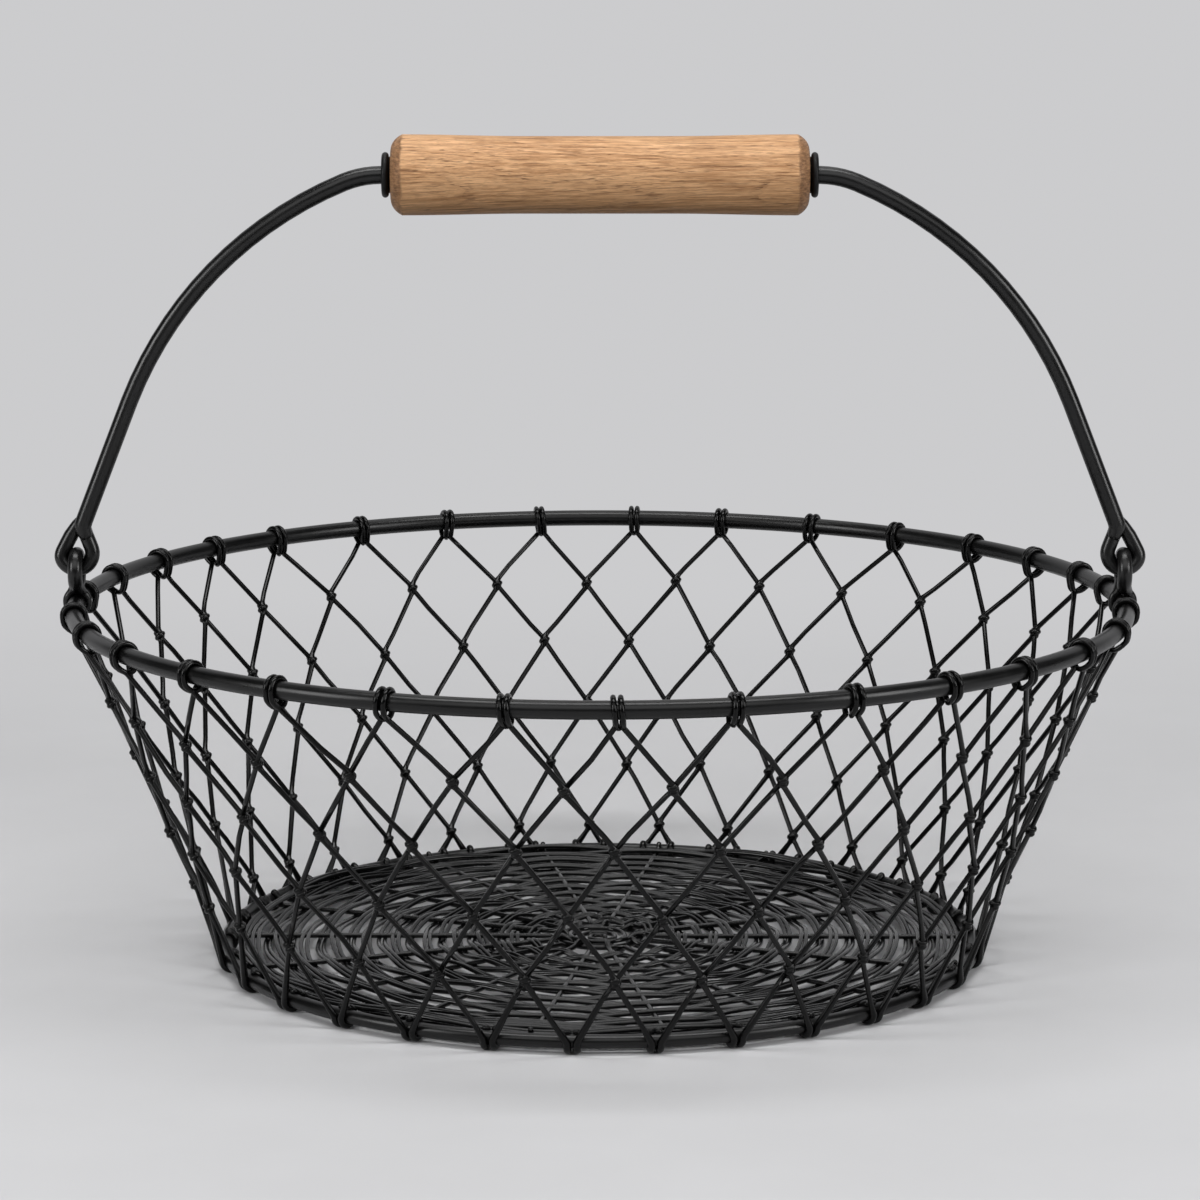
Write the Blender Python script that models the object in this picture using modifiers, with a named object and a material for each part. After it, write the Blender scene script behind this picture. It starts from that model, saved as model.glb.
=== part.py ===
"""Round wire basket with a swinging bail and a turned wooden grip.

Metres, +Z up. The basket stands at z = 0 on the wire wraps under its base ring.
The front is -Y, and angles round the basket run from the front towards +X.

The pieces, from the outside in:
rim              thick ring at the top
base_ring        thinner ring at the foot of the wall
net_wire_01..31  the wall: each wire is looped twice over the rim and both legs run
                 down and apart, knotted to the legs that they cross, to the base ring
floor_hub        small ring in the middle of the floor
floor_spoke_1..9 hairpins hooked through the hub, two arms each, hung on the base ring
floor_weaver_a/b two long wires woven over and under the arms in a double spiral
ear_left/right   figure-eight links, closed round the rim, standing up from it
bail             the handle wire, with an eye at each end threaded through an ear
washer_left/right collars on the bail at both ends of the grip
grip             bored wooden handle, free to turn on the bail
"""

import math

import bmesh
import bpy
from mathutils import Matrix, Vector

MM = 0.001

# Wall: rings and height, all on the centrelines of the wires
RIM_RADIUS = 146.0 * MM
RIM_WIRE = 4.8 * MM
BASE_RADIUS = 105.5 * MM
BASE_WIRE = 3.8 * MM
WALL_HEIGHT = 96.4 * MM
RING_SEGMENTS = 62
RIM_SIDES = 8
BASE_SIDES = 6

# Net: 15 loops share the front half of the rim and 16 the back half, where the rows of knots
# are closer and a fifth row sits just above the base ring
NET_WIRE = 1.4 * MM
FRONT_LOOPS = 15
BACK_LOOPS = 16
NET_TURN = math.radians(1.75)
KNOT_ROWS = 4
FIRST_KNOT_DROP = 21.7 * MM
BACK_KNOT_DROP = 18.7 * MM
LAST_KNOT_RISE = 7.3 * MM
LAST_STRAIGHT_SHARE = 0.3
SIDE_BLEND = math.radians(12)
LOOP_DROP = 5.2 * MM
LOOP_TURN_POINTS = 7
LOOP_SWEEP = math.radians(630)
WRAP_TURN_POINTS = 6
KNOT_TURN_POINTS = 5
STRAND_GAP = 0.25 * MM
LOOP_STRAND_GAP = 0.45 * MM
RING_GAP = 0.25 * MM
FOOT_FLAT_SHARE = 0.10

# Floor: arms hooked on a hub and woven with two wires
ARMS = 18
ARM_WIRE = 1.4 * MM
WEAVER_WIRE = 1.5 * MM
HUB_RADIUS = 11.5 * MM
HUB_WIRE = 1.6 * MM
HUB_SEGMENTS = 24
HUB_SIDES = 4
HUB_REACH = 2.7 * MM
FIRST_ROW = 16.0 * MM
LAST_ROW_INSET = 5.9 * MM
ROW_PITCH = 5.6 * MM
COIL_START = 1.8 * MM
COIL_PITCH = 2.5 * MM
COIL_TURNS = 2
COIL_TURN_POINTS = 12
WEAVE_GAP = 0.1 * MM
HOOK_GAP = 0.45 * MM
HOOK_TURN_POINTS = 6

# Ears
EAR_WIRE = 4.0 * MM
EAR_RING_WIRE = 2.4 * MM
EAR_LOOP_RADIUS = 4.6 * MM
EAR_STRAND_GAP = 0.4 * MM
EAR_RING_GAP = 0.3 * MM
EAR_TURN_POINTS = 12
PIVOT_RISE = 9.5 * MM
SEAT_GAP = 0.3 * MM

# Bail, measured from the plane of the rim
GRIP_RISE = 119.4 * MM
BAIL_WIRE = 5.0 * MM
SHANK_WIRE = 4.8 * MM
EYE_WIRE = 3.9 * MM
EYE_RADIUS = 4.55 * MM
SHOULDER_RADIUS = 27.5 * MM
SHOULDER_ANGLE = math.radians(22.7)
SHOULDER_STEPS = 3
BOW_STEPS = 8
LEG_LENGTH = 37.1 * MM
EYE_NECK_RISE = 12.0 * MM
EYE_NECK_INSET = 1.7 * MM
TAIL_LENGTH = 4.5 * MM
TAIL_GAP = 0.3 * MM
TAIL_TURN = math.radians(20)
TAIL_LEAN_SHARE = 0.3
EYE_STEPS = 8
BAIL_SIDES = 8

# Grip and collars
GRIP_LENGTH = 114.8 * MM
GRIP_END_RADIUS = 11.1 * MM
GRIP_WAIST_RADIUS = 10.5 * MM
GRIP_FACE_RADIUS = 7.4 * MM
GRIP_ROUND = 3.6 * MM
GRIP_BORE_GAP = 0.3 * MM
GRIP_STEPS = 24
WASHER_RADIUS = 6.3 * MM
WASHER_THICKNESS = 2.2 * MM
WASHER_EDGE = 0.6 * MM
WASHER_GAP = 0.2 * MM
WASHER_STEPS = 20
END_PLAY = 0.3 * MM
MERGE = 0.05 * MM

# Plain finishes: colour, roughness, metallic
BLACK_WIRE = ((0.012, 0.012, 0.013), 0.42, 0.6)
BLACK_COLLAR = ((0.010, 0.010, 0.011), 0.5, 0.6)
OAK = ((0.47, 0.27, 0.13), 0.55, 0.0)


def turn_radius(inner_wire, outer_wire, gap, points_per_turn):
    """Radius of a turn of one wire round another, whose straight stretches stay clear."""
    clear = inner_wire / 2 + outer_wire / 2 + gap
    return clear / math.cos(math.pi / points_per_turn)


LOOPS = FRONT_LOOPS + BACK_LOOPS
WRAP_RADIUS = turn_radius(BASE_WIRE, NET_WIRE, RING_GAP, WRAP_TURN_POINTS)
WRAP_DEPTH = WRAP_RADIUS * math.cos(math.pi / WRAP_TURN_POINTS) + NET_WIRE / 2
BASE_Z = WRAP_DEPTH - NET_WIRE * FOOT_FLAT_SHARE
RIM_Z = BASE_Z + WALL_HEIGHT
PIVOT_Z = RIM_Z + PIVOT_RISE
GRIP_Z = RIM_Z + GRIP_RISE
WALL_SLOPE = math.atan2(RIM_RADIUS - BASE_RADIUS, WALL_HEIGHT)
FRONT_ROW_PITCH = (WALL_HEIGHT - FIRST_KNOT_DROP) / KNOT_ROWS
BACK_ROW_PITCH = (WALL_HEIGHT - LAST_KNOT_RISE - BACK_KNOT_DROP) / KNOT_ROWS
KNOT_RADIUS = turn_radius(NET_WIRE, NET_WIRE, 0, KNOT_TURN_POINTS)
LAYER = KNOT_RADIUS / 2
STRAND_PITCH = NET_WIRE + STRAND_GAP
LOOP_PITCH = NET_WIRE + LOOP_STRAND_GAP
LAST_ROW = BASE_RADIUS - LAST_ROW_INSET


def clear_scene():
    for old in list(bpy.data.objects):
        bpy.data.objects.remove(old, do_unlink=True)


def new_collection(name):
    collection = bpy.data.collections.new(name)
    bpy.context.scene.collection.children.link(collection)
    return collection


def finish(name, look):
    colour, roughness, metallic = look
    material = bpy.data.materials.new(name)
    material.use_nodes = True
    shader = material.node_tree.nodes["Principled BSDF"]
    shader.inputs["Base Color"].default_value = (*colour, 1.0)
    shader.inputs["Roughness"].default_value = roughness
    shader.inputs["Metallic"].default_value = metallic
    return material


def add_object(name, data, look, collection, origin=Vector()):
    piece = bpy.data.objects.new(name, data)
    piece.location = origin
    data.materials.append(finish(name, look))
    collection.objects.link(piece)
    return piece


def wire(name, points, diameter, sides, look, collection, origin=Vector(), widths=None, closed=False):
    """Round wire along the points, measured from the origin; widths are the wire at each point."""
    curve = bpy.data.curves.new(name, "CURVE")
    curve.dimensions = "3D"
    curve.bevel_depth = diameter / 2
    curve.bevel_resolution = (sides - 4) // 2
    curve.use_fill_caps = True
    spline = curve.splines.new("POLY")
    spline.points.add(len(points) - 1)
    spline.use_cyclic_u = closed
    for index, place in enumerate(points):
        spline.points[index].co = (*(place - origin), 1.0)
        if widths:
            spline.points[index].radius = widths[index] / diameter
    return add_object(name, curve, look, collection, origin)


def revolved(name, profile, steps, look, collection):
    """Solid of revolution: the closed profile of (radius, length) pairs turned about X."""
    mesh = bpy.data.meshes.new(name)
    places = [(0, radius, along) for radius, along in profile]
    edges = [(index, (index + 1) % len(profile)) for index in range(len(profile))]
    mesh.from_pydata(places, edges, [])
    mesh.transform(Matrix.Rotation(math.radians(90), 4, "Y"))
    piece = add_object(name, mesh, look, collection)
    screw = piece.modifiers.new("turned", "SCREW")
    screw.axis = "X"
    screw.angle = math.radians(360)
    screw.steps = steps
    screw.render_steps = steps
    screw.use_merge_vertices = True
    screw.merge_threshold = MERGE
    screw.use_normal_calculate = True
    return piece


def around(angle, radius, height):
    """Point at an angle round the basket."""
    return Vector((radius * math.sin(angle), -radius * math.cos(angle), height))


def beside_ring(angle, ring_radius, ring_height, out, up, along):
    """Point near a ring, from its centreline: outwards, up, and along it."""
    sideways = Vector((math.cos(angle), math.sin(angle), 0))
    return around(angle, ring_radius + out, ring_height + up) + sideways * along


def ring(name, radius, wire_diameter, height, segments, sides, collection):
    """Closed ring of round wire."""
    steps = [2 * math.pi * index / segments for index in range(segments)]
    points = [around(angle, radius, height) for angle in steps]
    return wire(name, points, wire_diameter, sides, BLACK_WIRE, collection, closed=True)


# Net

def loop_angles():
    """Angles of the loops on the rim: even shares in front of the ears and behind them."""
    half = math.pi
    front = [half * (index + 0.5) / FRONT_LOOPS - half / 2 for index in range(FRONT_LOOPS)]
    back = [half * (index + 0.5) / BACK_LOOPS + half / 2 for index in range(BACK_LOOPS)]
    return [angle + NET_TURN for angle in front + back]


def knot_angles():
    """Angles of every row: each knot hangs midway between the two above it.

    Row 0 is the loops. Entry i of row k is where the right leg of wire i meets the left leg
    of wire i + k. The row after the full ones is on the base ring in front, and just above it
    at the back; the last row only says where the legs at the back run to.
    """
    rows = [loop_angles()]
    for _ in range(KNOT_ROWS + 2):
        above = rows[-1]
        after = above[1:] + [above[0] + 2 * math.pi]
        rows.append([(a + b) / 2 for a, b in zip(above, after)])
    return rows


def row_angle(rows, row, index):
    """Angle of an entry of a row, for any index, unwrapped past a full turn."""
    turns, place = divmod(index, LOOPS)
    return rows[row][place] + turns * 2 * math.pi


def back_share(angle):
    """0 round the front of the wall and 1 round the back, changing over beside the ears."""
    past = abs(math.remainder(angle, 2 * math.pi)) - math.pi / 2 + SIDE_BLEND
    return min(1, max(0, past / (2 * SIDE_BLEND)))


def row_drop(row, angle):
    """Drop of a row of knots below the rim."""
    front = FIRST_KNOT_DROP + FRONT_ROW_PITCH * (row - 1)
    back = BACK_KNOT_DROP + BACK_ROW_PITCH * (row - 1)
    return front + (back - front) * back_share(angle)


def parting(rows, index):
    """Angle that a leg at the back runs aside between its last knot and the base ring."""
    half_step = row_angle(rows, KNOT_ROWS + 2, index) - row_angle(rows, KNOT_ROWS + 1, index)
    return half_step * LAST_KNOT_RISE / BACK_ROW_PITCH


def on_wall(angle, drop, layer):
    """Point on the cone of the wall, moved out of it by the layer."""
    radius = RIM_RADIUS - drop * math.tan(WALL_SLOPE)
    out = layer * math.cos(WALL_SLOPE)
    down = layer * math.sin(WALL_SLOPE)
    return around(angle, radius + out, RIM_Z - drop - down)


def wall_normal(angle):
    flat = around(angle, math.cos(WALL_SLOPE), 0)
    return flat - Vector((0, 0, math.sin(WALL_SLOPE)))


def loop_points(angle):
    """Double turn over the rim, hanging below it as an eyelet, from the inner side to the outer."""
    radius = turn_radius(RIM_WIRE, NET_WIRE, RING_GAP, LOOP_TURN_POINTS)
    turns = LOOP_SWEEP / (2 * math.pi)
    count = round(turns * LOOP_TURN_POINTS)
    points = []
    for index in range(count + 1):
        share = index / count
        turn = LOOP_SWEEP * (0.5 - share) - math.pi / 2
        rise = math.sin(turn) * (LOOP_DROP if math.sin(turn) < 0 else radius)
        along = LOOP_PITCH * turns * (share - 0.5)
        points.append(beside_ring(angle, RIM_RADIUS, RIM_Z, math.cos(turn) * radius, rise, along))
    return points


def knot_points(centre, along, normal):
    """One turn round the straight leg through the centre, entered and left on the inner side."""
    out = (normal - along * normal.dot(along)).normalized()
    across = along.cross(out)
    lean = math.acos(abs(along.z) / math.cos(WALL_SLOPE))
    pitch = STRAND_PITCH / math.sin(2 * lean)
    points = []
    for index in range(KNOT_TURN_POINTS + 1):
        share = index / KNOT_TURN_POINTS
        turn = 2 * math.pi * share
        ring_point = across * math.sin(turn) - out * math.cos(turn)
        points.append(centre + ring_point * KNOT_RADIUS + along * pitch * (share - 0.5))
    return points


def wrap_points(angle, side):
    """Turn round the base ring: over the outside, under it and up inside, ending on top.

    The side is -1 or 1 for the left or right one of a pair, and 0 for a single turn.
    """
    points = []
    for index in range(WRAP_TURN_POINTS):
        turn = math.pi * 2 * (1 - index) / WRAP_TURN_POINTS
        out = WRAP_RADIUS * math.cos(turn)
        up = WRAP_RADIUS * math.sin(turn)
        points.append(beside_ring(angle, BASE_RADIUS, BASE_Z, out, up, side * LOOP_PITCH / 2))
    return points


def right_leg(rows, index):
    """Leg that runs down to the right on the outer side; the other legs are knotted to it."""
    points = []
    for row in range(1, KNOT_ROWS + 2):
        angle = row_angle(rows, row, index)
        if row > KNOT_ROWS and back_share(angle) < 1:
            return points + wrap_points(angle, -1)
        points.append(on_wall(angle, row_drop(row, angle), LAYER))
    aside = parting(rows, index)
    drop = row_drop(row, angle) + LAST_KNOT_RISE * LAST_STRAIGHT_SHARE
    points.append(on_wall(angle + aside * LAST_STRAIGHT_SHARE, drop, LAYER))
    return points + wrap_points(angle + aside, 0)


def left_leg(rows, index):
    """Leg that runs down to the left on the inner side and takes a turn round each leg it meets."""
    points = []
    for row in range(1, KNOT_ROWS + 2):
        other = index - row
        angle = row_angle(rows, row, other)
        if row > KNOT_ROWS and back_share(angle) < 1:
            return points + wrap_points(angle, 1)
        above, centre, below = (on_wall(row_angle(rows, near, other), row_drop(near, angle), LAYER)
                                for near in (row - 1, row, row + 1))
        points += knot_points(centre, (below - above).normalized(), wall_normal(angle))
    return points + wrap_points(angle - parting(rows, other), 0)


def net_wire(name, rows, index, cutter, collection):
    """One wire of the wall, from the end of its left leg, over the rim, to the end of its right leg."""
    points = left_leg(rows, index)[::-1] + loop_points(rows[0][index]) + right_leg(rows, index)
    strand = wire(name, points, NET_WIRE, 4, BLACK_WIRE, collection)
    return cut_flat(strand, cutter, collection)


def cut_flat(strand, cutter, collection):
    """The same wire as a mesh, with its lowest bends cut flat where it stands."""
    mesh = bpy.data.meshes.new_from_object(strand)
    mesh.name = strand.name
    name = strand.name
    place = strand.matrix_world.copy()
    bpy.data.objects.remove(strand, do_unlink=True)
    weld(mesh)
    piece = bpy.data.objects.new(name, mesh)
    piece.matrix_world = place
    collection.objects.link(piece)
    cut = piece.modifiers.new("flat_foot", "BOOLEAN")
    cut.operation = "DIFFERENCE"
    cut.solver = "EXACT"
    cut.object = cutter
    return piece


def weld(mesh):
    shape = bmesh.new()
    shape.from_mesh(mesh)
    bmesh.ops.remove_doubles(shape, verts=shape.verts, dist=MERGE)
    bmesh.ops.recalc_face_normals(shape, faces=shape.faces)
    shape.to_mesh(mesh)
    shape.free()


def ground_cutter(collection):
    """Block whose top is the ground."""
    mesh = bpy.data.meshes.new("ground_cutter")
    shape = bmesh.new()
    width = 2 * (BASE_RADIUS + RIM_RADIUS)
    bmesh.ops.create_cube(shape, size=width)
    shape.to_mesh(mesh)
    shape.free()
    block = bpy.data.objects.new("ground_cutter", mesh)
    block.location = (0, 0, -width / 2)
    block.hide_render = True
    block.display_type = "WIRE"
    collection.objects.link(block)
    return block


# Floor

def wrap_places(rows):
    """(angle, half width) of each wrap on the base ring: pairs in front, single ones at the back."""
    places = []
    for index in range(LOOPS):
        angle = row_angle(rows, KNOT_ROWS + 1, index)
        if back_share(angle) < 1:
            places.append((angle, LOOP_PITCH / 2))
            continue
        aside = parting(rows, index)
        places += [(angle - aside, 0), (angle + aside, 0)]
    return places


def arm_angles(rows):
    """Even angles, each moved aside where its hook would sit on a wrap of the net."""
    beside = NET_WIRE / 2 + ARM_WIRE / 2 + HOOK_GAP
    wraps = wrap_places(rows)
    angles = []
    for index in range(ARMS):
        angle = math.pi / 2 + 2 * math.pi * index / ARMS
        pushes = []
        for wrap, half in wraps:
            gap = math.remainder(angle - wrap, 2 * math.pi)
            pushes.append(math.copysign(max(0, (half + beside) / BASE_RADIUS - abs(gap)), gap))
        angles.append(angle + max(pushes, key=abs))
    return angles


def arm_hook(angle):
    """End of an arm: up over the base ring and down its outer side."""
    radius = turn_radius(BASE_WIRE, ARM_WIRE, RING_GAP, HOOK_TURN_POINTS)
    points = [around(angle, BASE_RADIUS - radius - ARM_WIRE / 2, BASE_Z)]
    for index in range(4):
        turn = math.pi * (5 - 2 * index) / HOOK_TURN_POINTS
        out = BASE_RADIUS + radius * math.cos(turn)
        points.append(around(angle, out, BASE_Z + radius * math.sin(turn)))
    return points


def spoke(name, first, second, collection):
    """Hairpin: an arm in over the hub, round inside it, and an arm out under it."""
    rise = turn_radius(HUB_WIRE, ARM_WIRE, WEAVE_GAP, HOOK_TURN_POINTS) + WEAVE_GAP
    middle = (first + second) / 2
    bend = [
        around(first, HUB_RADIUS + HUB_REACH, BASE_Z),
        around(first, HUB_RADIUS, BASE_Z + rise),
        around(middle, HUB_RADIUS - HUB_REACH, BASE_Z),
        around(second, HUB_RADIUS, BASE_Z - rise),
        around(second, HUB_RADIUS + HUB_REACH, BASE_Z),
    ]
    points = arm_hook(first)[::-1] + bend + arm_hook(second)
    return wire(name, points, ARM_WIRE, 4, BLACK_WIRE, collection)


def weave_lift(radius):
    """Height of a weaver over an arm that keeps its slopes clear of the arm."""
    clear = ARM_WIRE / 2 + WEAVER_WIRE / 2 + WEAVE_GAP
    stride = radius * 2 * math.pi / ARMS
    return clear / math.sqrt(1 - (2 * clear / stride) ** 2)


def woven_points(angles, start_radius, first_side):
    """Spiral that passes the arms in turn above and below, one point at each arm."""
    points = []
    step = 0
    radius = start_radius
    while radius <= LAST_ROW:
        turns, place = divmod(step, ARMS)
        side = first_side if step % 2 == 0 else -first_side
        angle = angles[place] + turns * 2 * math.pi
        points.append(around(angle, radius, BASE_Z + side * weave_lift(radius)))
        step += 1
        radius = start_radius + 2 * ROW_PITCH * step / ARMS
    return points


def coil_points(exit_angle):
    """Flat coil in the middle of the floor, from its centre out over the hub."""
    count = COIL_TURNS * COIL_TURN_POINTS
    points = []
    for index in range(count + 1):
        back = (count - index) / COIL_TURN_POINTS
        angle = exit_angle - 2 * math.pi * back
        points.append(around(angle, COIL_START + COIL_PITCH * (COIL_TURNS - back), BASE_Z))
    rise = HUB_WIRE / 2 + WEAVER_WIRE / 2 + RING_GAP
    points.append(around(exit_angle, HUB_RADIUS - HUB_WIRE / 2, BASE_Z + rise))
    points.append(around(exit_angle, HUB_RADIUS + HUB_WIRE / 2, BASE_Z + rise))
    return points


def build_floor(rows, collection):
    angles = arm_angles(rows)
    ring("floor_hub", HUB_RADIUS, HUB_WIRE, BASE_Z, HUB_SEGMENTS, HUB_SIDES, collection)
    for pair in range(ARMS // 2):
        spoke(f"floor_spoke_{pair + 1}", angles[2 * pair], angles[2 * pair + 1], collection)
    between = (angles[0] + angles[-1] - 2 * math.pi) / 2
    inner = coil_points(between) + woven_points(angles, FIRST_ROW, 1)
    wire("floor_weaver_a", inner, WEAVER_WIRE, 4, BLACK_WIRE, collection)
    outer = woven_points(angles, FIRST_ROW + ROW_PITCH, -1)
    wire("floor_weaver_b", outer, WEAVER_WIRE, 4, BLACK_WIRE, collection)


# Ears

def ear_half():
    """Half of a figure-eight link, from under the rim to its crown: (out, along, up, wire)."""
    lower = turn_radius(RIM_WIRE, EAR_RING_WIRE, EAR_RING_GAP, EAR_TURN_POINTS)
    apart = (EAR_RING_WIRE + EAR_STRAND_GAP) / 2
    first = EAR_STRAND_GAP / lower - math.pi / 2
    last = math.acos(apart / lower)
    steps = EAR_TURN_POINTS // 2
    half = []
    for index in range(steps):
        turn = first + (last - first) * index / (steps - 1)
        half.append((lower * math.cos(turn), 0, lower * math.sin(turn), EAR_RING_WIRE))
    open_angle = math.asin(apart / EAR_LOOP_RADIUS)
    middle = PIVOT_RISE + EYE_WIRE / 2 + SEAT_GAP + EAR_WIRE / 2 - EAR_LOOP_RADIUS
    neck = middle - EAR_LOOP_RADIUS * math.cos(open_angle)
    twist = math.radians(45)
    rise = (half[-1][2] + neck) / 2
    half.append((apart * math.cos(twist), -apart * math.sin(twist), rise, EAR_RING_WIRE))
    for index in range(steps):
        turn = (math.pi - open_angle) * index / steps + open_angle
        along = -EAR_LOOP_RADIUS * math.sin(turn)
        thick = min(1, 2 * index / steps)
        diameter = EAR_RING_WIRE + (EAR_WIRE - EAR_RING_WIRE) * thick
        half.append((0, along, middle - EAR_LOOP_RADIUS * math.cos(turn), diameter))
    return half + [(0, 0, middle + EAR_LOOP_RADIUS, EAR_WIRE)]


def ear(name, angle, collection):
    """Figure-eight link: slim lower eye closed round the rim, thick upper eye square to it."""
    half = ear_half()
    other = [(-out, -along, up, diameter) for out, along, up, diameter in half[-2::-1]]
    rows = half + other
    points = [beside_ring(angle, RIM_RADIUS, RIM_Z, out, up, along) for out, along, up, _ in rows]
    widths = [row[3] for row in rows]
    return wire(name, points, EAR_WIRE, 6, BLACK_WIRE, collection, widths=widths)


# Bail

def bail_half():
    """Right half of the bail from the grip outwards: (x, y, rise over the rim, wire)."""
    straight = GRIP_LENGTH / 2 + END_PLAY + WASHER_THICKNESS + WASHER_GAP
    points = [(straight, 0, GRIP_RISE, BAIL_WIRE)]
    for index in range(1, SHOULDER_STEPS + 1):
        turn = SHOULDER_ANGLE * index / SHOULDER_STEPS
        x = straight + SHOULDER_RADIUS * math.sin(turn)
        points.append((x, 0, GRIP_RISE - SHOULDER_RADIUS * (1 - math.cos(turn)), BAIL_WIRE))
    x_start, _, z_start, _ = points[-1]
    neck_x = RIM_RADIUS - EYE_NECK_INSET
    neck_z = PIVOT_RISE + EYE_NECK_RISE
    bow_radius, leg_angle = bow(neck_x - x_start, z_start - neck_z)
    for index in range(1, BOW_STEPS + 1):
        share = index / BOW_STEPS
        turn = SHOULDER_ANGLE + (leg_angle - SHOULDER_ANGLE) * share
        x = x_start + bow_radius * (math.sin(turn) - math.sin(SHOULDER_ANGLE))
        z = z_start - bow_radius * (math.cos(SHOULDER_ANGLE) - math.cos(turn))
        points.append((x, 0, z, BAIL_WIRE + (SHANK_WIRE - BAIL_WIRE) * share))
    points.append((neck_x, 0, neck_z, SHANK_WIRE))
    return points + eye_points(neck_x, neck_z, leg_angle)


def bow(reach, drop):
    """Radius of the bow, and the angle of the straight leg that it runs into, down to the neck."""
    along = reach * math.cos(SHOULDER_ANGLE) + drop * math.sin(SHOULDER_ANGLE)
    inward = drop * math.cos(SHOULDER_ANGLE) - reach * math.sin(SHOULDER_ANGLE)
    radius = (along ** 2 + inward ** 2 - LEG_LENGTH ** 2) / (2 * inward)
    turn = math.atan2(along, radius - inward) - math.atan2(LEG_LENGTH, radius)
    return radius, SHOULDER_ANGLE + turn


def eye_points(neck_x, neck_z, leg_angle):
    """Eye of the bail: down its inner side, round the bottom and up, the tail behind the leg."""
    centre_x = RIM_RADIUS
    centre_z = PIVOT_RISE + EYE_RADIUS
    apart = SHANK_WIRE / 2 + EYE_WIRE / 2 + TAIL_GAP
    beside = apart * math.cos(TAIL_TURN)
    behind = apart * math.sin(TAIL_TURN)
    start = math.radians(160)
    sweep = math.radians(220)
    points = []
    for index in range(EYE_STEPS + 1):
        share = index / EYE_STEPS
        turn = start + sweep * share
        x = centre_x + EYE_RADIUS * math.cos(turn)
        y = behind * TAIL_LEAN_SHARE * max(0, 2 * share - 1)
        points.append((x, y, centre_z + EYE_RADIUS * math.sin(turn), EYE_WIRE))
    tail_x = neck_x + beside * math.sin(leg_angle)
    tail_z = neck_z + beside * math.cos(leg_angle)
    points.append((tail_x, behind, tail_z, EYE_WIRE))
    up_x = tail_x - TAIL_LENGTH * math.cos(leg_angle)
    points.append((up_x, behind, tail_z + TAIL_LENGTH * math.sin(leg_angle), EYE_WIRE))
    return points


def build_bail(hinge, collection):
    half = bail_half()
    left = [(-x, y, z, width) for x, y, z, width in reversed(half)]
    rows = left + half
    points = [Vector((x, y, RIM_Z + z)) for x, y, z, _ in rows]
    widths = [row[3] for row in rows]
    centre = Vector((0, 0, PIVOT_Z))
    bail = wire("bail", points, BAIL_WIRE, BAIL_SIDES, BLACK_WIRE, collection, centre, widths)
    hang_on(bail, hinge)


def hang_on(piece, hinge):
    """Parent a piece to the hinge, without moving it."""
    piece.location -= hinge.location
    piece.parent = hinge


# Grip

def build_grip(hinge, collection):
    bore = BAIL_WIRE / 2 + GRIP_BORE_GAP
    end = GRIP_LENGTH / 2
    shoulder = end - GRIP_ROUND
    waist = (GRIP_END_RADIUS + GRIP_WAIST_RADIUS) / 2
    corner = math.radians(45)
    round_out = (GRIP_END_RADIUS - GRIP_FACE_RADIUS) * math.sin(corner)
    round_in = GRIP_ROUND * math.cos(corner)
    half = [
        (bore, end),
        (GRIP_FACE_RADIUS, end),
        (GRIP_FACE_RADIUS + round_out, shoulder + round_in),
        (GRIP_END_RADIUS, shoulder),
        (waist, shoulder / 2),
    ]
    profile = half + [(GRIP_WAIST_RADIUS, 0)] + [(radius, -along) for radius, along in reversed(half)]
    grip = revolved("grip", profile, GRIP_STEPS, OAK, collection)
    grip.location = (0, 0, GRIP_Z)
    hang_on(grip, hinge)


def build_washer(name, side, hinge, collection):
    bore = BAIL_WIRE / 2 + WASHER_GAP
    half = WASHER_THICKNESS / 2
    flat = half - WASHER_EDGE
    rounded = WASHER_RADIUS - WASHER_EDGE
    profile = [(bore, half), (rounded, half), (WASHER_RADIUS, flat)]
    profile += [(radius, -along) for radius, along in reversed(profile)]
    washer = revolved(name, profile, WASHER_STEPS, BLACK_COLLAR, collection)
    washer.location = (side * (GRIP_LENGTH / 2 + END_PLAY + half), 0, GRIP_Z)
    hang_on(washer, hinge)


def build():
    clear_scene()
    basket = new_collection("wire_basket")
    cutters = new_collection("cutters")
    rows = knot_angles()
    ring("rim", RIM_RADIUS, RIM_WIRE, RIM_Z, RING_SEGMENTS, RIM_SIDES, basket)
    ring("base_ring", BASE_RADIUS, BASE_WIRE, BASE_Z, RING_SEGMENTS, BASE_SIDES, basket)
    cutter = ground_cutter(cutters)
    for index in range(LOOPS):
        net_wire(f"net_wire_{index + 1:02d}", rows, index, cutter, basket)
    build_floor(rows, basket)
    ear("ear_left", -math.pi / 2, basket)
    ear("ear_right", math.pi / 2, basket)
    hinge = bpy.data.objects.new("bail_hinge", None)
    hinge.location = (0, 0, PIVOT_Z)
    basket.objects.link(hinge)
    build_bail(hinge, basket)
    build_grip(hinge, basket)
    build_washer("washer_left", -1, hinge, basket)
    build_washer("washer_right", 1, hinge, basket)


build()
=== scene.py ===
"""Looks of the wire basket: round wires with tight turns and knots, a woven floor, an oak grip.

Lengths are in millimetres up to the mesh, which is in metres. The front is -Y, and angles
round the basket run from the front towards +X.
"""

from math import atan2, ceil, copysign, cos, pi, radians, remainder, sin, tan, tanh

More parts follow.
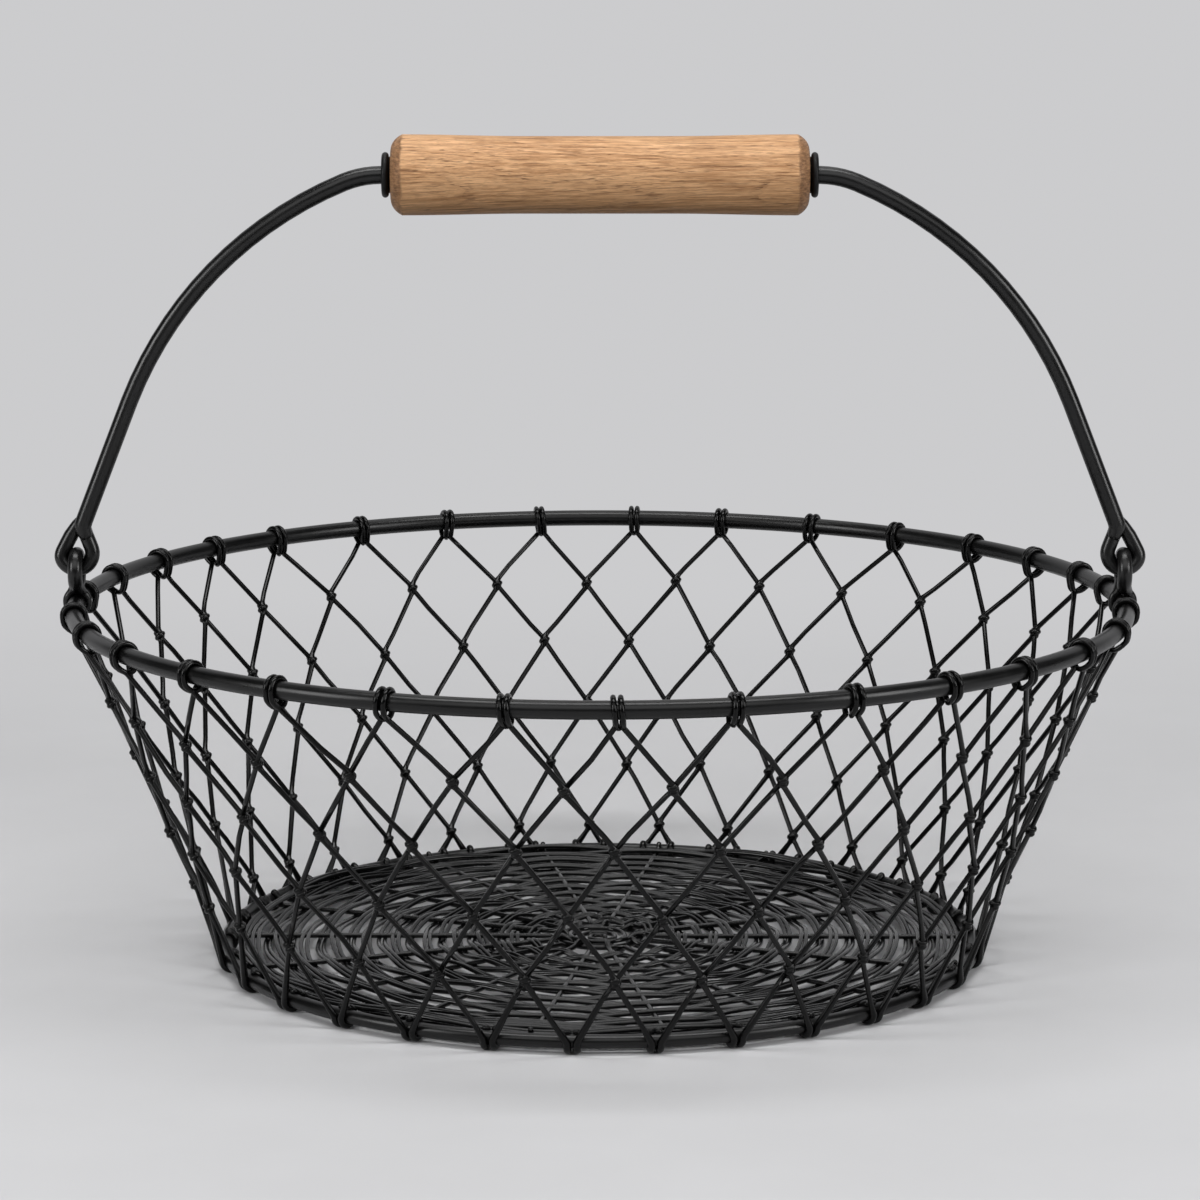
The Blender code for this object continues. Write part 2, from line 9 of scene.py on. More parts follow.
import bpy
import numpy as np
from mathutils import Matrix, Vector


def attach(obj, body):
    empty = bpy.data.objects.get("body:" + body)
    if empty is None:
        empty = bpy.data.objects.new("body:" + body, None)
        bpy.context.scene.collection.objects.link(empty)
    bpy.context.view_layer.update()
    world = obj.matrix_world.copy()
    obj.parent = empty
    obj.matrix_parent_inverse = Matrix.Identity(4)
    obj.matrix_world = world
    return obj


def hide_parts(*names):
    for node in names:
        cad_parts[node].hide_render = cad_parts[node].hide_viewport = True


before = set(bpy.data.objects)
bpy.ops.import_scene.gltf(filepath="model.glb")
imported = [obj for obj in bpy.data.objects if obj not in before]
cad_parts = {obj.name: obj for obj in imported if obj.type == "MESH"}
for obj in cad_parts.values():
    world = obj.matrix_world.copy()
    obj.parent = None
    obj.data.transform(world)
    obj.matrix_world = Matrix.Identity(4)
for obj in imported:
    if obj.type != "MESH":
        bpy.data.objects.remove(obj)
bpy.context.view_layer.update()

MM = 0.001

# Wall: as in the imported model, with a slightly thicker net wire
RIM_RADIUS = 146.0
RIM_WIRE = 4.8
BASE_RADIUS = 105.5
BASE_WIRE = 3.8
WALL_HEIGHT = 96.4
BASE_Z = 3.41
RIM_Z = BASE_Z + WALL_HEIGHT
WALL_SLOPE = atan2(RIM_RADIUS - BASE_RADIUS, WALL_HEIGHT)
NET_WIRE = 1.45
FRONT_LOOPS = 15
BACK_LOOPS = 16
NET_TURN = radians(1.75)
KNOT_ROWS = 4
FIRST_KNOT_DROP = 21.7
BACK_KNOT_DROP = 18.7
LAST_KNOT_RISE = 7.3
SIDE_BLEND = radians(12)
FRONT_ROW_PITCH = (WALL_HEIGHT - FIRST_KNOT_DROP) / KNOT_ROWS
BACK_ROW_PITCH = (WALL_HEIGHT - LAST_KNOT_RISE - BACK_KNOT_DROP) / KNOT_ROWS
LOOPS = FRONT_LOOPS + BACK_LOOPS
NET_HAND = 0.4
LOOP_HAND = 0.3
LEG_BOW = 0.22
# How far the loops sit from their even places, in degrees
FRONT_SHIFTS = (0.2, -0.4, -0.55, 0.3, 0.2, 0.7, 1.0, 0.0, -0.4, 0.0, -0.4, -1.3, -1.3, -1.3, -1.0)
BACK_SHIFTS = (1.3, -0.75, -1.3, -1.3, -0.6, -0.25, 0.1, -0.35,
               0.0, 0.4, 0.4, 1.2, 0.0, -1.0, -1.3, -1.3)

# Turns of the net wire
LOOP_START = radians(252)
LOOP_END = radians(-432)
LOOP_GAP = 0.04
LOOP_RADIUS = RIM_WIRE / 2 + NET_WIRE / 2 + LOOP_GAP
LOOP_DROP = 4.7
LOOP_PITCH = 1.85
LOOP_WIRE = 1.5
LOOP_REACH = 4.6
LOOP_BRIDGE = radians(28)
LOOP_SAG_SHARE = 0.1
LOOP_PITCH_SHARE = 0.3
LOOP_POINTS = 96
KNOT_LAYER = 0.4
KNOT_HEIGHT = 2.3
KNOT_NECK = 0.62
KNOT_BELLY = 1.12
KNOT_FULLNESS = 0.7
KNOT_START_HAND = 0.25
KNOT_CORE = 3.0
KNOT_REACH = 1.3
KNOT_POINTS = 27
# The straight leg through a knot, as (down, aside) from the knot's middle
CORE_STEPS = ((-1.6, -0.45), (-0.8, -0.05), (0.8, 0.05), (1.6, 0.45))
WRAP_WIRE = 2.15
WRAP_REACH = 2.45
WRAP_TAPER = 0.5
WRAP_RADIUS = BASE_Z - WRAP_WIRE / 2
WRAP_START = radians(2)
WRAP_END = radians(-258)
WRAP_PITCH = 2.4
WRAP_END_HAND = 0.14
WRAP_SLANT_HAND = 0.12
WRAP_POINTS = 24
NET_EASE = 0.32

# Floor
ARMS = 18
ARM_WIRE = 1.5
ARM_LIFT = 0.4
WEAVER_WIRE = 1.3
WEAVE_RISE = 0.82
HUB_RADIUS = 11.5
HUB_WIRE = 1.6
HUB_REACH = 2.7
HAIRPIN_GAP = 0.15
ARM_EASE = 0.5
FIRST_ROW = 15.3
LAST_ROW = 101.3
CLOSE_FROM = 88.0
CLOSE_SHARE = 0.75
RUN_ON = 2.8
EDGE_CLIMB = 1.5
CLIMB_REACH = 8.0
ROW_PITCH = 4.25
COIL_START = 1.5
COIL_PITCH = 2.75
COIL_TURNS = 3
COIL_TURN_POINTS = 36
COIL_RISE = 1.1
COIL_RISE_FROM = 1.25
COIL_GAP = 0.1
HOOK_GAP = 0.2
HOOK_TOUCH = 0.08
HOOK_REACH = 2.4
ROW_HAND = 0.42
STRAND_SPLIT = 0.75
STRAND_HAND = 0.16
LIFT_HAND = 0.16
EDGE_HAND_SHARE = 0.3
WEAVE_STEPS = 12
# Spacing of the weave's unevenness, in steps from arm to arm
ROW_SPACING = 0.9
LIFT_SPACING = 0.8
STRAND_SPACING = 0.6
WEAVER_EASE = 0.7
WEAVER_STEP = 0.4
WEAVER_BEND = radians(7)
WEAVER_LONGEST = 4.0

# Ears and bail
EAR_WIRE = 4.1
EAR_RING_WIRE = 1.6
EAR_RING_GROWTH = 0.9
EAR_RING_GAP = 0.12
# Middle of the figure-eight: (out, along, rise over the lower eye, wire)
EAR_TWIST = (0.5, -1.5, 1.0, 3.8)
EAR_EASE = 0.8
EAR_LOOP_RADIUS = 4.6
PIVOT_RISE = 9.5
SEAT_GAP = 0.15
GRIP_RISE = 119.4
GRIP_Z = RIM_Z + GRIP_RISE
BAIL_WIRE = 5.0
SHANK_WIRE = 4.8
EYE_WIRE = 4.15
EYE_RADIUS = 4.55
SHOULDER_RADIUS = 27.5
SHOULDER_ANGLE = radians(22.7)
SHOULDER_STEPS = 8
BOW_STEPS = 30
STRAIGHT_SPARE = 0.2
LEG_LENGTH = 37.1
EYE_NECK_RISE = 12.0
EYE_NECK_INSET = 1.7
TAIL_LENGTH = 4.6
TAIL_TURN = radians(68)
TAIL_TWIST = radians(20)
TAIL_BEHIND = 1.5
TAIL_SINK = 0.1
EYE_BEHIND = 0.9
EYE_ROOT = 1.4
EYE_ROOT_WIRE = EYE_WIRE - 0.5
EYE_LEAN_IN = 0.3
EYE_LEAN_OUT = 0.8
# Blunt end of the shank: (inside the rim's radius, below the neck, wire)
SHANK_END = ((2.3, 1.3, 4.4), (2.8, 2.5, 3.9))
# Down into the eye: (inside the rim's radius, below the neck, share of EYE_BEHIND)
EYE_ENTRY = ((1.9, 0.2, 1.0), (2.6, 1.9, 0.8), (3.3, 3.9, 0.5))
# Up out of the eye: (outside the rim's radius, rise over the rim, behind)
EYE_EXIT = ((4.15, 14.0, 1.0), (3.3, 15.6, 1.4), (2.2, 17.7, 1.7), (1.1, 19.7, 1.7))
# Tail up the shank: (share of its length, wire)
TAIL_STEPS = ((0.0, EYE_WIRE - 0.8), (0.4, 3.0), (0.75, 2.6), (1.0, 2.0))
ROD_STEP = 0.25
ROD_LONGEST = 6.0
BOW_EASE = 1.0
BOW_BEND = radians(4)
EYE_EASE = 0.9
EYE_BEND = radians(7)

# Grip and collars
GRIP_LENGTH = 114.8
GRIP_END_RADIUS = 11.08
GRIP_WAIST_RADIUS = 10.6
GRIP_FACE_RADIUS = 6.9
GRIP_ROUND = 3.1
GRIP_CREASE = radians(36)
GRIP_EDGE = radians(86)
GRIP_BORE_GAP = 0.15
# Rounded mouth of the bore: (outside the bore, below the end)
GRIP_MOUTH = ((0.0, 0.5), (0.4, 0.1))
GRIP_ROUND_EASE = 1.4
GRIP_ROUND_STEPS = 12
GRIP_WAIST_STEPS = 16
GRIP_WAIST_START = 1.6
END_GRAIN_REACH = 2.3
COLLAR_RADIUS = 6.25
COLLAR_THICKNESS = 2.2
COLLAR_EDGE = 0.95
COLLAR_EDGE_SHIFT = 0.14
COLLAR_FACE_INSET = 1.6
# Slimmer step of the collar: (inside its radius, along)
COLLAR_STEP = ((1.3, -0.85), (1.2, -COLLAR_THICKNESS / 2))
COLLAR_BORE_GAP = 0.05
END_PLAY = 0.3

# Meshes: segments along a ring or round a turning, and sides of a wire
RIM_SEGMENTS, RIM_SIDES = 300, 28
BASE_SEGMENTS, BASE_SIDES = 240, 24
HUB_SEGMENTS, HUB_SIDES = 72, 12
NET_SIDES = 10
FLOOR_SIDES = 10
EAR_SIDES = 20
BAIL_SIDES = 24
GRIP_SEGMENTS = 96
COLLAR_SEGMENTS = 64
PATH_STEP = 0.2
BEND_STEP = radians(11)
LONGEST_STEP = 14.0
# Domed end of a wire: slices in degrees, height as a share of the radius
DOME_SLICES = (80, 58, 30)
DOME_HEIGHT = 0.8

# Colours, linear. The oak's come in the order that they lie over each other
OAK_FIBRES = (0.44, 0.22, 0.094), (0.83, 0.487, 0.25)
OAK_LATE_WOOD = (0.47, 0.235, 0.1)
OAK_EARLY_WOOD = (0.30, 0.145, 0.062)
OAK_CLOUDS = (0.9, 0.55, 0.295)
OAK_THREADS = (0.33, 0.155, 0.066)
OAK_RAYS = (0.88, 0.57, 0.33)
OAK_CRACKS = (0.19, 0.085, 0.035)
OAK_PORES = (0.14, 0.06, 0.025)
OAK_END_GRAIN = (0.15, 0.072, 0.033), (0.40, 0.21, 0.1)
PAPER_MOTTLE = (0.58, 0.58, 0.59), (0.608, 0.608, 0.619)
PAPER_BOUNCE = (0.18, 0.18, 0.183)
BACKDROP = (0.603, 0.603, 0.614)

# Noises in the oak: scale along and across the grain, offset, detail and roughness
OAK_NOISES = {
    "sway": ((13, 30, 30), (0.0, 0.0, 0.0), 2.0, 0.5),
    "wave": ((60, 260, 260), (3.1, 0.4, 0.2), 2.0, 0.55),
    "fibre": ((38, 1500, 1500), (0.0, 0.3, 0.1), 5.0, 0.72),
    "thread": ((95, 3600, 3600), (0.5, 0.1, 0.8), 3.0, 0.65),
    "clouds": ((30, 150, 150), (0.7, 0.2, 0.5), 3.0, 0.6),
    "pores": ((260, 3600, 3600), (0.4, 0.7, 0.1), 1.5, 0.5),
    "cracks": ((21, 2000, 2000), (0.9, 0.6, 0.3), 3.0, 0.6),
    "rays": ((260, 900, 3000), (0.2, 0.3, 0.9), 2.0, 0.5),
    "ends": ((800, 330, 1700), (0.1, 0.5, 0.2), 3.0, 0.6),
}
# The wood's heart from the middle of the grip, in metres, and how far its grain is turned
OAK_HEART = (0, 0.044, 0.02)
OAK_GRAIN_TURN = (0.0, 0.02, 0.045)
RINGS_PER_METRE = 360

# Studio: the paper in millimetres, the rest in metres
PAPER_FRONT = -2600.0
PAPER_BEND_Y = 1400.0
PAPER_BEND_RADIUS = 1500.0
PAPER_TOP = 4200.0
PAPER_HALF_WIDTH = 3600.0
FADE_FROM, FADE_TO = 0.16, 0.6
WORLD_LIGHT = 0.03
LAMP_AIM = (0.0, 0.0, 0.1)
STRIP_AIM = (0.0, 0.0, 0.15)
CAMERA_PLACE = (0.0, -1.1987, 0.3210)
CAMERA_PITCH = 10.42
CAMERA_LENS = 130.86

rng = np.random.default_rng(31)


# Paths

def unit(vectors):
    """A vector, or each row of vectors, at length one."""
    return vectors / np.linalg.norm(vectors, axis=-1, keepdims=True)


def around(angle, radius, height):
    """Point at an angle round the basket."""
    return np.array((radius * sin(angle), -radius * cos(angle), height))


def beside_ring(angle, ring_radius, ring_height, out, up, along):
    """Point near a ring, from its centreline: outwards, up, and along it."""
    sideways = np.array((cos(angle), sin(angle), 0.0))
    return around(angle, ring_radius + out, ring_height + up) + sideways * along


def shares(count):
    """Even shares from 0 to 1."""
    return [index / count for index in range(count + 1)]


def arc(first, stop, step):
    """Angles of an arc, from a range of whole degrees."""
    return [radians(degrees) for degrees in range(first, stop, step)]


def lengths_along(points):
    """Distance of each point along its path."""
    steps = np.linalg.norm(np.diff(points, axis=0), axis=1)
    return np.concatenate(([0.0], np.cumsum(steps)))


def resampled(points, step):
    """The same polyline, with evenly spaced points."""
    points = np.asarray(points, float)
    along = lengths_along(points)
    count = max(2, int(round(along[-1] / step)) + 1)
    places = np.linspace(0, along[-1], count)
    return np.stack([np.interp(places, along, points[:, axis]) for axis in range(3)], axis=1)


def eased(points, spread, step=PATH_STEP):
    """Evenly spaced points with every corner rounded over about the spread; the ends stay."""
    points = resampled(points, step)
    reach = int(ceil(3 * spread / step))
    offsets = np.arange(-reach, reach + 1) * step
    weights = np.exp(-0.5 * (offsets / spread) ** 2)
    weights /= weights.sum()
    head = 2 * points[0] - points[reach:0:-1]
    tail = 2 * points[-1] - points[-2:-reach - 2:-1]
    padded = np.concatenate((head, points, tail))
    smooth = [np.convolve(padded[:, axis], weights, mode="valid") for axis in range(3)]
    return np.stack(smooth, axis=1)


def thinned(points, bend=BEND_STEP, longest=LONGEST_STEP, near=()):
    """The points that the path's bends need: few on straight stretches, more near some places."""
    reaches = np.full(len(points), longest)
    for place in near:
        reaches[np.linalg.norm(points - place, axis=1) < 2 * KNOT_REACH] = KNOT_REACH / 2
    steps = unit(np.diff(points, axis=0))
    cosines = np.clip((steps[1:] * steps[:-1]).sum(1), -1, 1)
    turned = np.concatenate(([0.0], np.cumsum(np.arccos(cosines)), [0.0]))
    turned[-1] = turned[-2]
    along = lengths_along(points)
    kept = [0]
    for index in range(1, len(points) - 1):
        far = along[index] - along[kept[-1]] >= reaches[index]
        if far or turned[index] - turned[kept[-1]] >= bend:
            kept.append(index)
    kept.append(len(points) - 1)
    return points[kept]


def wander(count, spacing, size):
    """Smooth random offsets, one for each of count even steps."""
    knots = max(4, int(count / spacing) + 2)
    values = rng.normal(0, size, knots)
    return np.interp(np.linspace(0, knots - 1, count), np.arange(knots), values)


# Meshes

def turned_frames(points, closed):
    """Tangents, and two normals that don't spin, at each point of a path."""
    if closed:
        tangents = np.roll(points, -1, axis=0) - np.roll(points, 1, axis=0)
    else:
        tangents = np.empty_like(points)
        inner = unit(np.diff(points, axis=0))
        tangents[1:-1] = inner[1:] + inner[:-1]
        tangents[0], tangents[-1] = inner[0], inner[-1]
    tangents = unit(tangents)
    seed = np.eye(3)[np.argmin(np.abs(tangents[0]))]
    normal = unit(np.cross(tangents[0], seed))
    normals = []
    for tangent in tangents:
        normal = unit(normal - tangent * normal.dot(tangent))
        normals.append(normal)
    normals = np.array(normals)
    return tangents, normals, np.cross(tangents, normals)


def tube_rings(points, radii, closed):
    """Centres, radii and frames of a wire's rings, with a domed end at each open end."""
    tangents, first, second = turned_frames(points, closed)
    if closed:
        return points, radii, first, second
    dome = np.radians(DOME_SLICES)
    bulge, shrink = DOME_HEIGHT * np.sin(dome)[:, None], np.cos(dome)
    head = points[0] - tangents[0] * radii[0] * bulge
    tail = points[-1] + tangents[-1] * radii[-1] * bulge[::-1]
    centres = np.concatenate((head, points, tail))
    sizes = np.concatenate((radii[0] * shrink, radii, radii[-1] * shrink[::-1]))
    normals = [np.concatenate((side[[0] * 3], side, side[[-1] * 3])) for side in (first, second)]
    return centres, sizes, *normals


def tube_shape(points, diameter, sides, closed=False):
    """Vertices, faces and lay of a round wire; the diameter is one number or one for each point.

    The "lay" attribute runs along the wire and round it, for marks that follow the wire.
    """
    points = np.asarray(points, float)
    radii = np.broadcast_to(np.asarray(diameter, float) / 2, len(points)).copy()
    centres, sizes, first, second = tube_rings(points, radii, closed)
    turns = np.arange(sides) * 2 * pi / sides
    cosines, sines = np.cos(turns), np.sin(turns)
    spokes = first[:, None] * cosines[:, None] + second[:, None] * sines[:, None]
    vertices = (centres[:, None] + spokes * sizes[:, None, None]).reshape(-1, 3)
    rings = len(centres)
    along = lengths_along(centres)
    lay = np.empty((rings, sides, 3))
    lay[:, :, 0] = along[:, None]
    lay[:, :, 1] = sizes[:, None] * cosines
    lay[:, :, 2] = sizes[:, None] * sines
    lay = lay.reshape(-1, 3)
    row = np.arange(sides)
    after = (row + 1) % sides
    starts = np.arange(rings if closed else rings - 1)[:, None]
    near, far = starts * sides, (starts + 1) % rings * sides
    corners = (near + row, near + after, far + after, far + row)
    faces = np.stack(corners, axis=2).reshape(-1, 4).tolist()
    if not closed:
        tips = [centres[0], centres[-1]]
        tip_lay = [(along[0], 0, 0), (along[-1], 0, 0)]
        base = len(vertices)
        vertices = np.concatenate((vertices, tips))
        lay = np.concatenate((lay, tip_lay))
        last = (rings - 1) * sides
        faces += [[base, int(b), int(a)] for a, b in zip(row, after)]
        faces += [[base + 1, last + int(a), last + int(b)] for a, b in zip(row, after)]
    return vertices, faces, lay


def tube(name, points, diameter, sides, closed=False):
    """Object of one round wire."""
    return mesh_object(name, *tube_shape(points, diameter, sides, closed))


def joined(name, shapes):
    """Object of several wires."""
    vertices, faces, lay, base = [], [], [], 0
    for shape in shapes:
        vertices.append(shape[0])
        faces += [[base + corner for corner in face] for face in shape[1]]
        lay.append(shape[2])
        base += len(shape[0])
    return mesh_object(name, np.concatenate(vertices), faces, np.concatenate(lay))


def mesh_object(name, vertices, faces, lay=None):
    """Smooth-shaded object from millimetre points."""
    mesh = bpy.data.meshes.new(name)
    mesh.from_pydata((np.asarray(vertices) * MM).tolist(), [], faces)
    if lay is not None:
        attribute = mesh.attributes.new("lay", "FLOAT_VECTOR", "POINT")
        attribute.data.foreach_set("vector", (np.asarray(lay) * MM).astype(np.float32).ravel())
    mesh.validate()
    mesh.shade_smooth()
    piece = bpy.data.objects.new(name, mesh)
    bpy.context.scene.collection.objects.link(piece)
    return piece


def lathe(name, profile, steps, centre):
    """Solid of revolution about X: a closed profile of (radius, length) pairs, turned."""
    rows, lay, faces = len(profile), [], []
    for radius, along in profile:
        for step in range(steps):
            turn = 2 * pi * step / steps
            lay.append((along, radius * cos(turn), radius * sin(turn)))
    for row in range(rows):
        nearer, further = row * steps, (row + 1) % rows * steps
        for step in range(steps):
            other = (step + 1) % steps
            faces.append([nearer + step, nearer + other, further + other, further + step])
    return mesh_object(name, np.array(lay) + centre, faces, lay)


def dress(piece, body, node, material):
    """Let a piece take its node's place on its body and finish."""
    piece.data.materials.append(material)
    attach(piece, body)
    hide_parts(node)


# Materials

class Nodes:
    """Short ways to add and join shader nodes."""

    def __init__(self, name):
        self.material = bpy.data.materials.new(name)
        self.material.use_nodes = True
        self.tree = self.material.node_tree
        self.shader = self.tree.nodes["Principled BSDF"]

    def add(self, kind, inputs=(), **settings):
        """New node with its inputs fed and its settings made."""
        node = self.tree.nodes.new(kind)
        for key, value in settings.items():
            setattr(node, key, value)
        for key, value in dict(inputs).items():
            self.feed(node.inputs[key], value)
        return node

    def feed(self, socket, value):
        """Join an output to the socket, or set the socket's own number or colour."""
        if isinstance(value, bpy.types.NodeSocket):
            self.tree.links.new(value, socket)
        elif isinstance(value, tuple) and socket.type == "RGBA":
            socket.default_value = (*value, 1.0)
        else:
            socket.default_value = value

    def shade(self, inputs):
        """Feed the material's shader, and give the material."""
        for key, value in inputs.items():
            self.feed(self.shader.inputs[key], value)
        return self.material

    def times(self, first, second):
        return self.maths("MULTIPLY", first, second)

    def plus(self, first, second):
        return self.maths("ADD", first, second)

    def coordinates(self, source, scale, offset=(0.0, 0.0, 0.0), turn=(0.0, 0.0, 0.0)):
        """Scaled, turned and moved coordinates."""
        inputs = {"Vector": source, "Scale": scale, "Location": offset, "Rotation": turn}
        return self.add("ShaderNodeMapping", inputs).outputs["Vector"]

    def noise(self, vector, scale, detail=2.0, roughness=0.5):
        """Noise about 0.5."""
        inputs = {"Vector": vector, "Scale": scale, "Detail": detail, "Roughness": roughness}
        return self.add("ShaderNodeTexNoise", inputs).outputs["Fac"]

    def spread(self, value, low, high, to_low=0.0, to_high=1.0):
        """The value's range from low to high spread over another range, and cut off there."""
        inputs = {"Value": value, "From Min": low, "From Max": high,
                  "To Min": to_low, "To Max": to_high}
        return self.add("ShaderNodeMapRange", inputs).outputs["Result"]

    def maths(self, operation, first, second=0.0):
        """Result of a maths node on one or two values."""
        node = self.add("ShaderNodeMath", operation=operation)
        self.feed(node.inputs[0], first)
        self.feed(node.inputs[1], second)
        return node.outputs[0]

    def shared(self, first, part, second):
        """A part of the first value and the rest of the second."""
        return self.plus(self.times(first, part), self.times(second, 1 - part))

    def mixed(self, share, first, second):
        """Colour between two."""
        node = self.add("ShaderNodeMix", data_type="RGBA")
        self.feed(node.inputs[0], share)
        self.feed(node.inputs[6], first)
        self.feed(node.inputs[7], second)
        return node.outputs[2]

    def bump(self, height, strength, distance, normal=None):
        inputs = {"Height": height, "Strength": strength, "Distance": distance}
        if normal is not None:
            inputs["Normal"] = normal
        return self.add("ShaderNodeBump", inputs).outputs["Normal"]


def black_finish(name, dark=0.0012, light=0.004, smooth=0.2, rough=0.33, shine=0.25):
    """Satin black lacquer on drawn wire: faint lengthwise marks, fine orange peel, uneven sheen."""
    nodes = Nodes(name)
    place = nodes.add("ShaderNodeTexCoord").outputs["Object"]
    lay = nodes.add("ShaderNodeAttribute", attribute_name="lay").outputs["Vector"]
    drawn = nodes.noise(nodes.coordinates(lay, (40, 1400, 1400)), 1.0, 3.0, 0.6)
    peel = nodes.noise(place, 700)
    patches = nodes.noise(place, 85, 3.0, 0.6)
    tone = nodes.shared(drawn, 0.5, patches)
    colour = nodes.mixed(nodes.spread(tone, 0.35, 0.65), (dark,) * 3, (light, light, light * 1.03))
    sheen = nodes.shared(patches, 0.6, drawn)
    marks = nodes.bump(drawn, 0.03, 0.00005)
    return nodes.shade({
        "Base Color": colour,
        "Roughness": nodes.spread(sheen, 0.32, 0.68, smooth, rough),
        "Normal": nodes.bump(peel, 0.04, 0.00005, marks),
        "Specular IOR Level": shine,
    })


def oak_finish(name):
    """Oiled oak: rings, fibres and open pores run through the wood; darker end grain."""
    nodes = Nodes(name)
    place = nodes.add("ShaderNodeTexCoord").outputs["Object"]
    x, y, z = OAK_HEART
    centred = nodes.coordinates(place, (1, 1, 1), (x, y, -GRIP_Z * MM + z), OAK_GRAIN_TURN)
    noises = {key: nodes.noise(nodes.coordinates(centred, scale, offset), 1.0, detail, roughness)
              for key, (scale, offset, detail, roughness) in OAK_NOISES.items()}
    fibre = noises["fibre"]

    # Growth rings round the heart of the wood, and pores in rows along them
    axes = nodes.add("ShaderNodeSeparateXYZ", {"Vector": centred}).outputs
    across = nodes.maths("POWER", axes["Y"], 2.0)
    upward = nodes.maths("POWER", axes["Z"], 2.0)
    distance = nodes.maths("SQRT", nodes.plus(across, upward))
    for key, reach in (("sway", 0.012), ("wave", 0.0018)):
        distance = nodes.plus(distance, nodes.times(noises[key], reach))
    rings = nodes.maths("FRACT", nodes.times(distance, RINGS_PER_METRE))
    early = nodes.spread(rings, 0.0, 0.22, 1.0, 0.0)
    late = nodes.spread(rings, 0.5, 1.0)
    in_rows = nodes.plus(nodes.times(early, 0.75), 0.35)
    open_pores = nodes.times(nodes.spread(noises["pores"], 0.43, 0.35), in_rows)
    cracks = nodes.spread(noises["cracks"], 0.4, 0.34)

    base = nodes.mixed(nodes.spread(fibre, 0.38, 0.62), *OAK_FIBRES)
    for share, colour in (
        (nodes.times(late, 0.3), OAK_LATE_WOOD),
        (nodes.times(early, 0.42), OAK_EARLY_WOOD),
        (nodes.spread(noises["clouds"], 0.42, 0.66, 0.0, 0.4), OAK_CLOUDS),
        (nodes.spread(noises["thread"], 0.52, 0.68, 0.0, 0.6), OAK_THREADS),
        (nodes.spread(noises["rays"], 0.6, 0.72, 0.0, 0.35), OAK_RAYS),
        (nodes.times(cracks, 0.55), OAK_CRACKS),
        (nodes.times(open_pores, 0.8), OAK_PORES),
    ):
        base = nodes.mixed(share, base, colour)

    # End grain, from a ragged line at the crease
    along = nodes.add("ShaderNodeSeparateXYZ", {"Vector": place}).outputs["X"]
    ragged = nodes.noise(nodes.coordinates(place, (60, 420, 420)), 1.0, 3.0, 0.6)
    raggedness = nodes.times(ragged, 0.0016)
    edge = nodes.plus(nodes.maths("ABSOLUTE", along), raggedness)
    crease = (GRIP_LENGTH / 2 - END_GRAIN_REACH) * MM
    end_grain = nodes.spread(edge, crease - 0.0003, crease + 0.0004)
    end_tone = nodes.mixed(nodes.spread(noises["ends"], 0.35, 0.65), *OAK_END_GRAIN)
    base = nodes.mixed(nodes.times(end_grain, 0.9), base, end_tone)

    grain = nodes.bump(fibre, 0.5, 0.0002)
    grooves = nodes.maths("SUBTRACT", 1.0, nodes.maths("MAXIMUM", open_pores, cracks))
    return nodes.shade({
        "Base Color": base,
        "Roughness": nodes.spread(fibre, 0.3, 0.7, 0.62, 0.46),
        "Normal": nodes.bump(grooves, 0.6, 0.0002, grain),
        "Specular IOR Level": 0.3,
    })


# Rings and net

def ring(name, radius, diameter, height, segments, sides):
    """Level ring of round wire round the basket's axis."""
    steps = [2 * pi * index / segments + pi for index in range(segments)]
    return tube(name, [around(angle, radius, height) for angle in steps], diameter, sides, True)


def loop_angles():
    """Angles of the loops on the rim: about even shares in front of the ears and behind them."""
    side = pi / 2
    front = [pi * (index + 0.5) / FRONT_LOOPS - side for index in range(FRONT_LOOPS)]
    back = [pi * (index + 0.5) / BACK_LOOPS + side for index in range(BACK_LOOPS)]
    shifts = np.radians(FRONT_SHIFTS + BACK_SHIFTS)
    return [angle + NET_TURN + float(shift) for angle, shift in zip(front + back, shifts)]


def back_share(angle):
    """0 round the front of the wall and 1 round the back, changing over beside the ears."""
    past = abs(remainder(angle, 2 * pi)) - pi / 2 + SIDE_BLEND
    return min(1, max(0, past / (2 * SIDE_BLEND)))


def row_drop(row, angle):
    """Drop of a row of knots below the rim: closer rows at the back."""
    front = FIRST_KNOT_DROP + FRONT_ROW_PITCH * (row - 1)
    back = BACK_KNOT_DROP + BACK_ROW_PITCH * (row - 1)
    return front + (back - front) * back_share(angle)


def knot_rows():
    """Angle and drop of every loop, knot and wrap, a little uneven as in handwork.

    Row 0 is the loops. Entry i of row k is where the right leg of wire i meets the left leg
    of wire i + k. The row after the full ones is on the base ring in front, and just above it
    at the back; the last row only says where the legs at the back run to.
    """
    rows = [loop_angles()]
    for _ in range(KNOT_ROWS + 2):
        above = rows[-1]
        after = above[1:] + [above[0] + 2 * pi]
        rows.append([(a + b) / 2 for a, b in zip(above, after)])
    places = []
    for row, angles in enumerate(rows):
        hand = NET_HAND if 0 < row <= KNOT_ROWS else 0.0
        line = []
        for angle in angles:
            aside, down = np.clip(rng.normal(0, 1, 2), -2, 2) * hand
            line.append((angle + aside / RIM_RADIUS, row_drop(row, angle) + down))
        places.append(line)
    return places


def placed(rows, row, index):
    """(angle, drop) of an entry of a row, for any index, unwrapped past a full turn."""
    turns, place = divmod(index, LOOPS)
    angle, drop = rows[row][place]
    return angle + turns * 2 * pi, drop


def on_wall(place, layer):
    """Point on the cone of the wall, moved out of it by the layer."""
    angle, drop = place
    radius = RIM_RADIUS - drop * tan(WALL_SLOPE)
    out, down = layer * cos(WALL_SLOPE), layer * sin(WALL_SLOPE)
    return around(angle, radius + out, RIM_Z - drop - down)


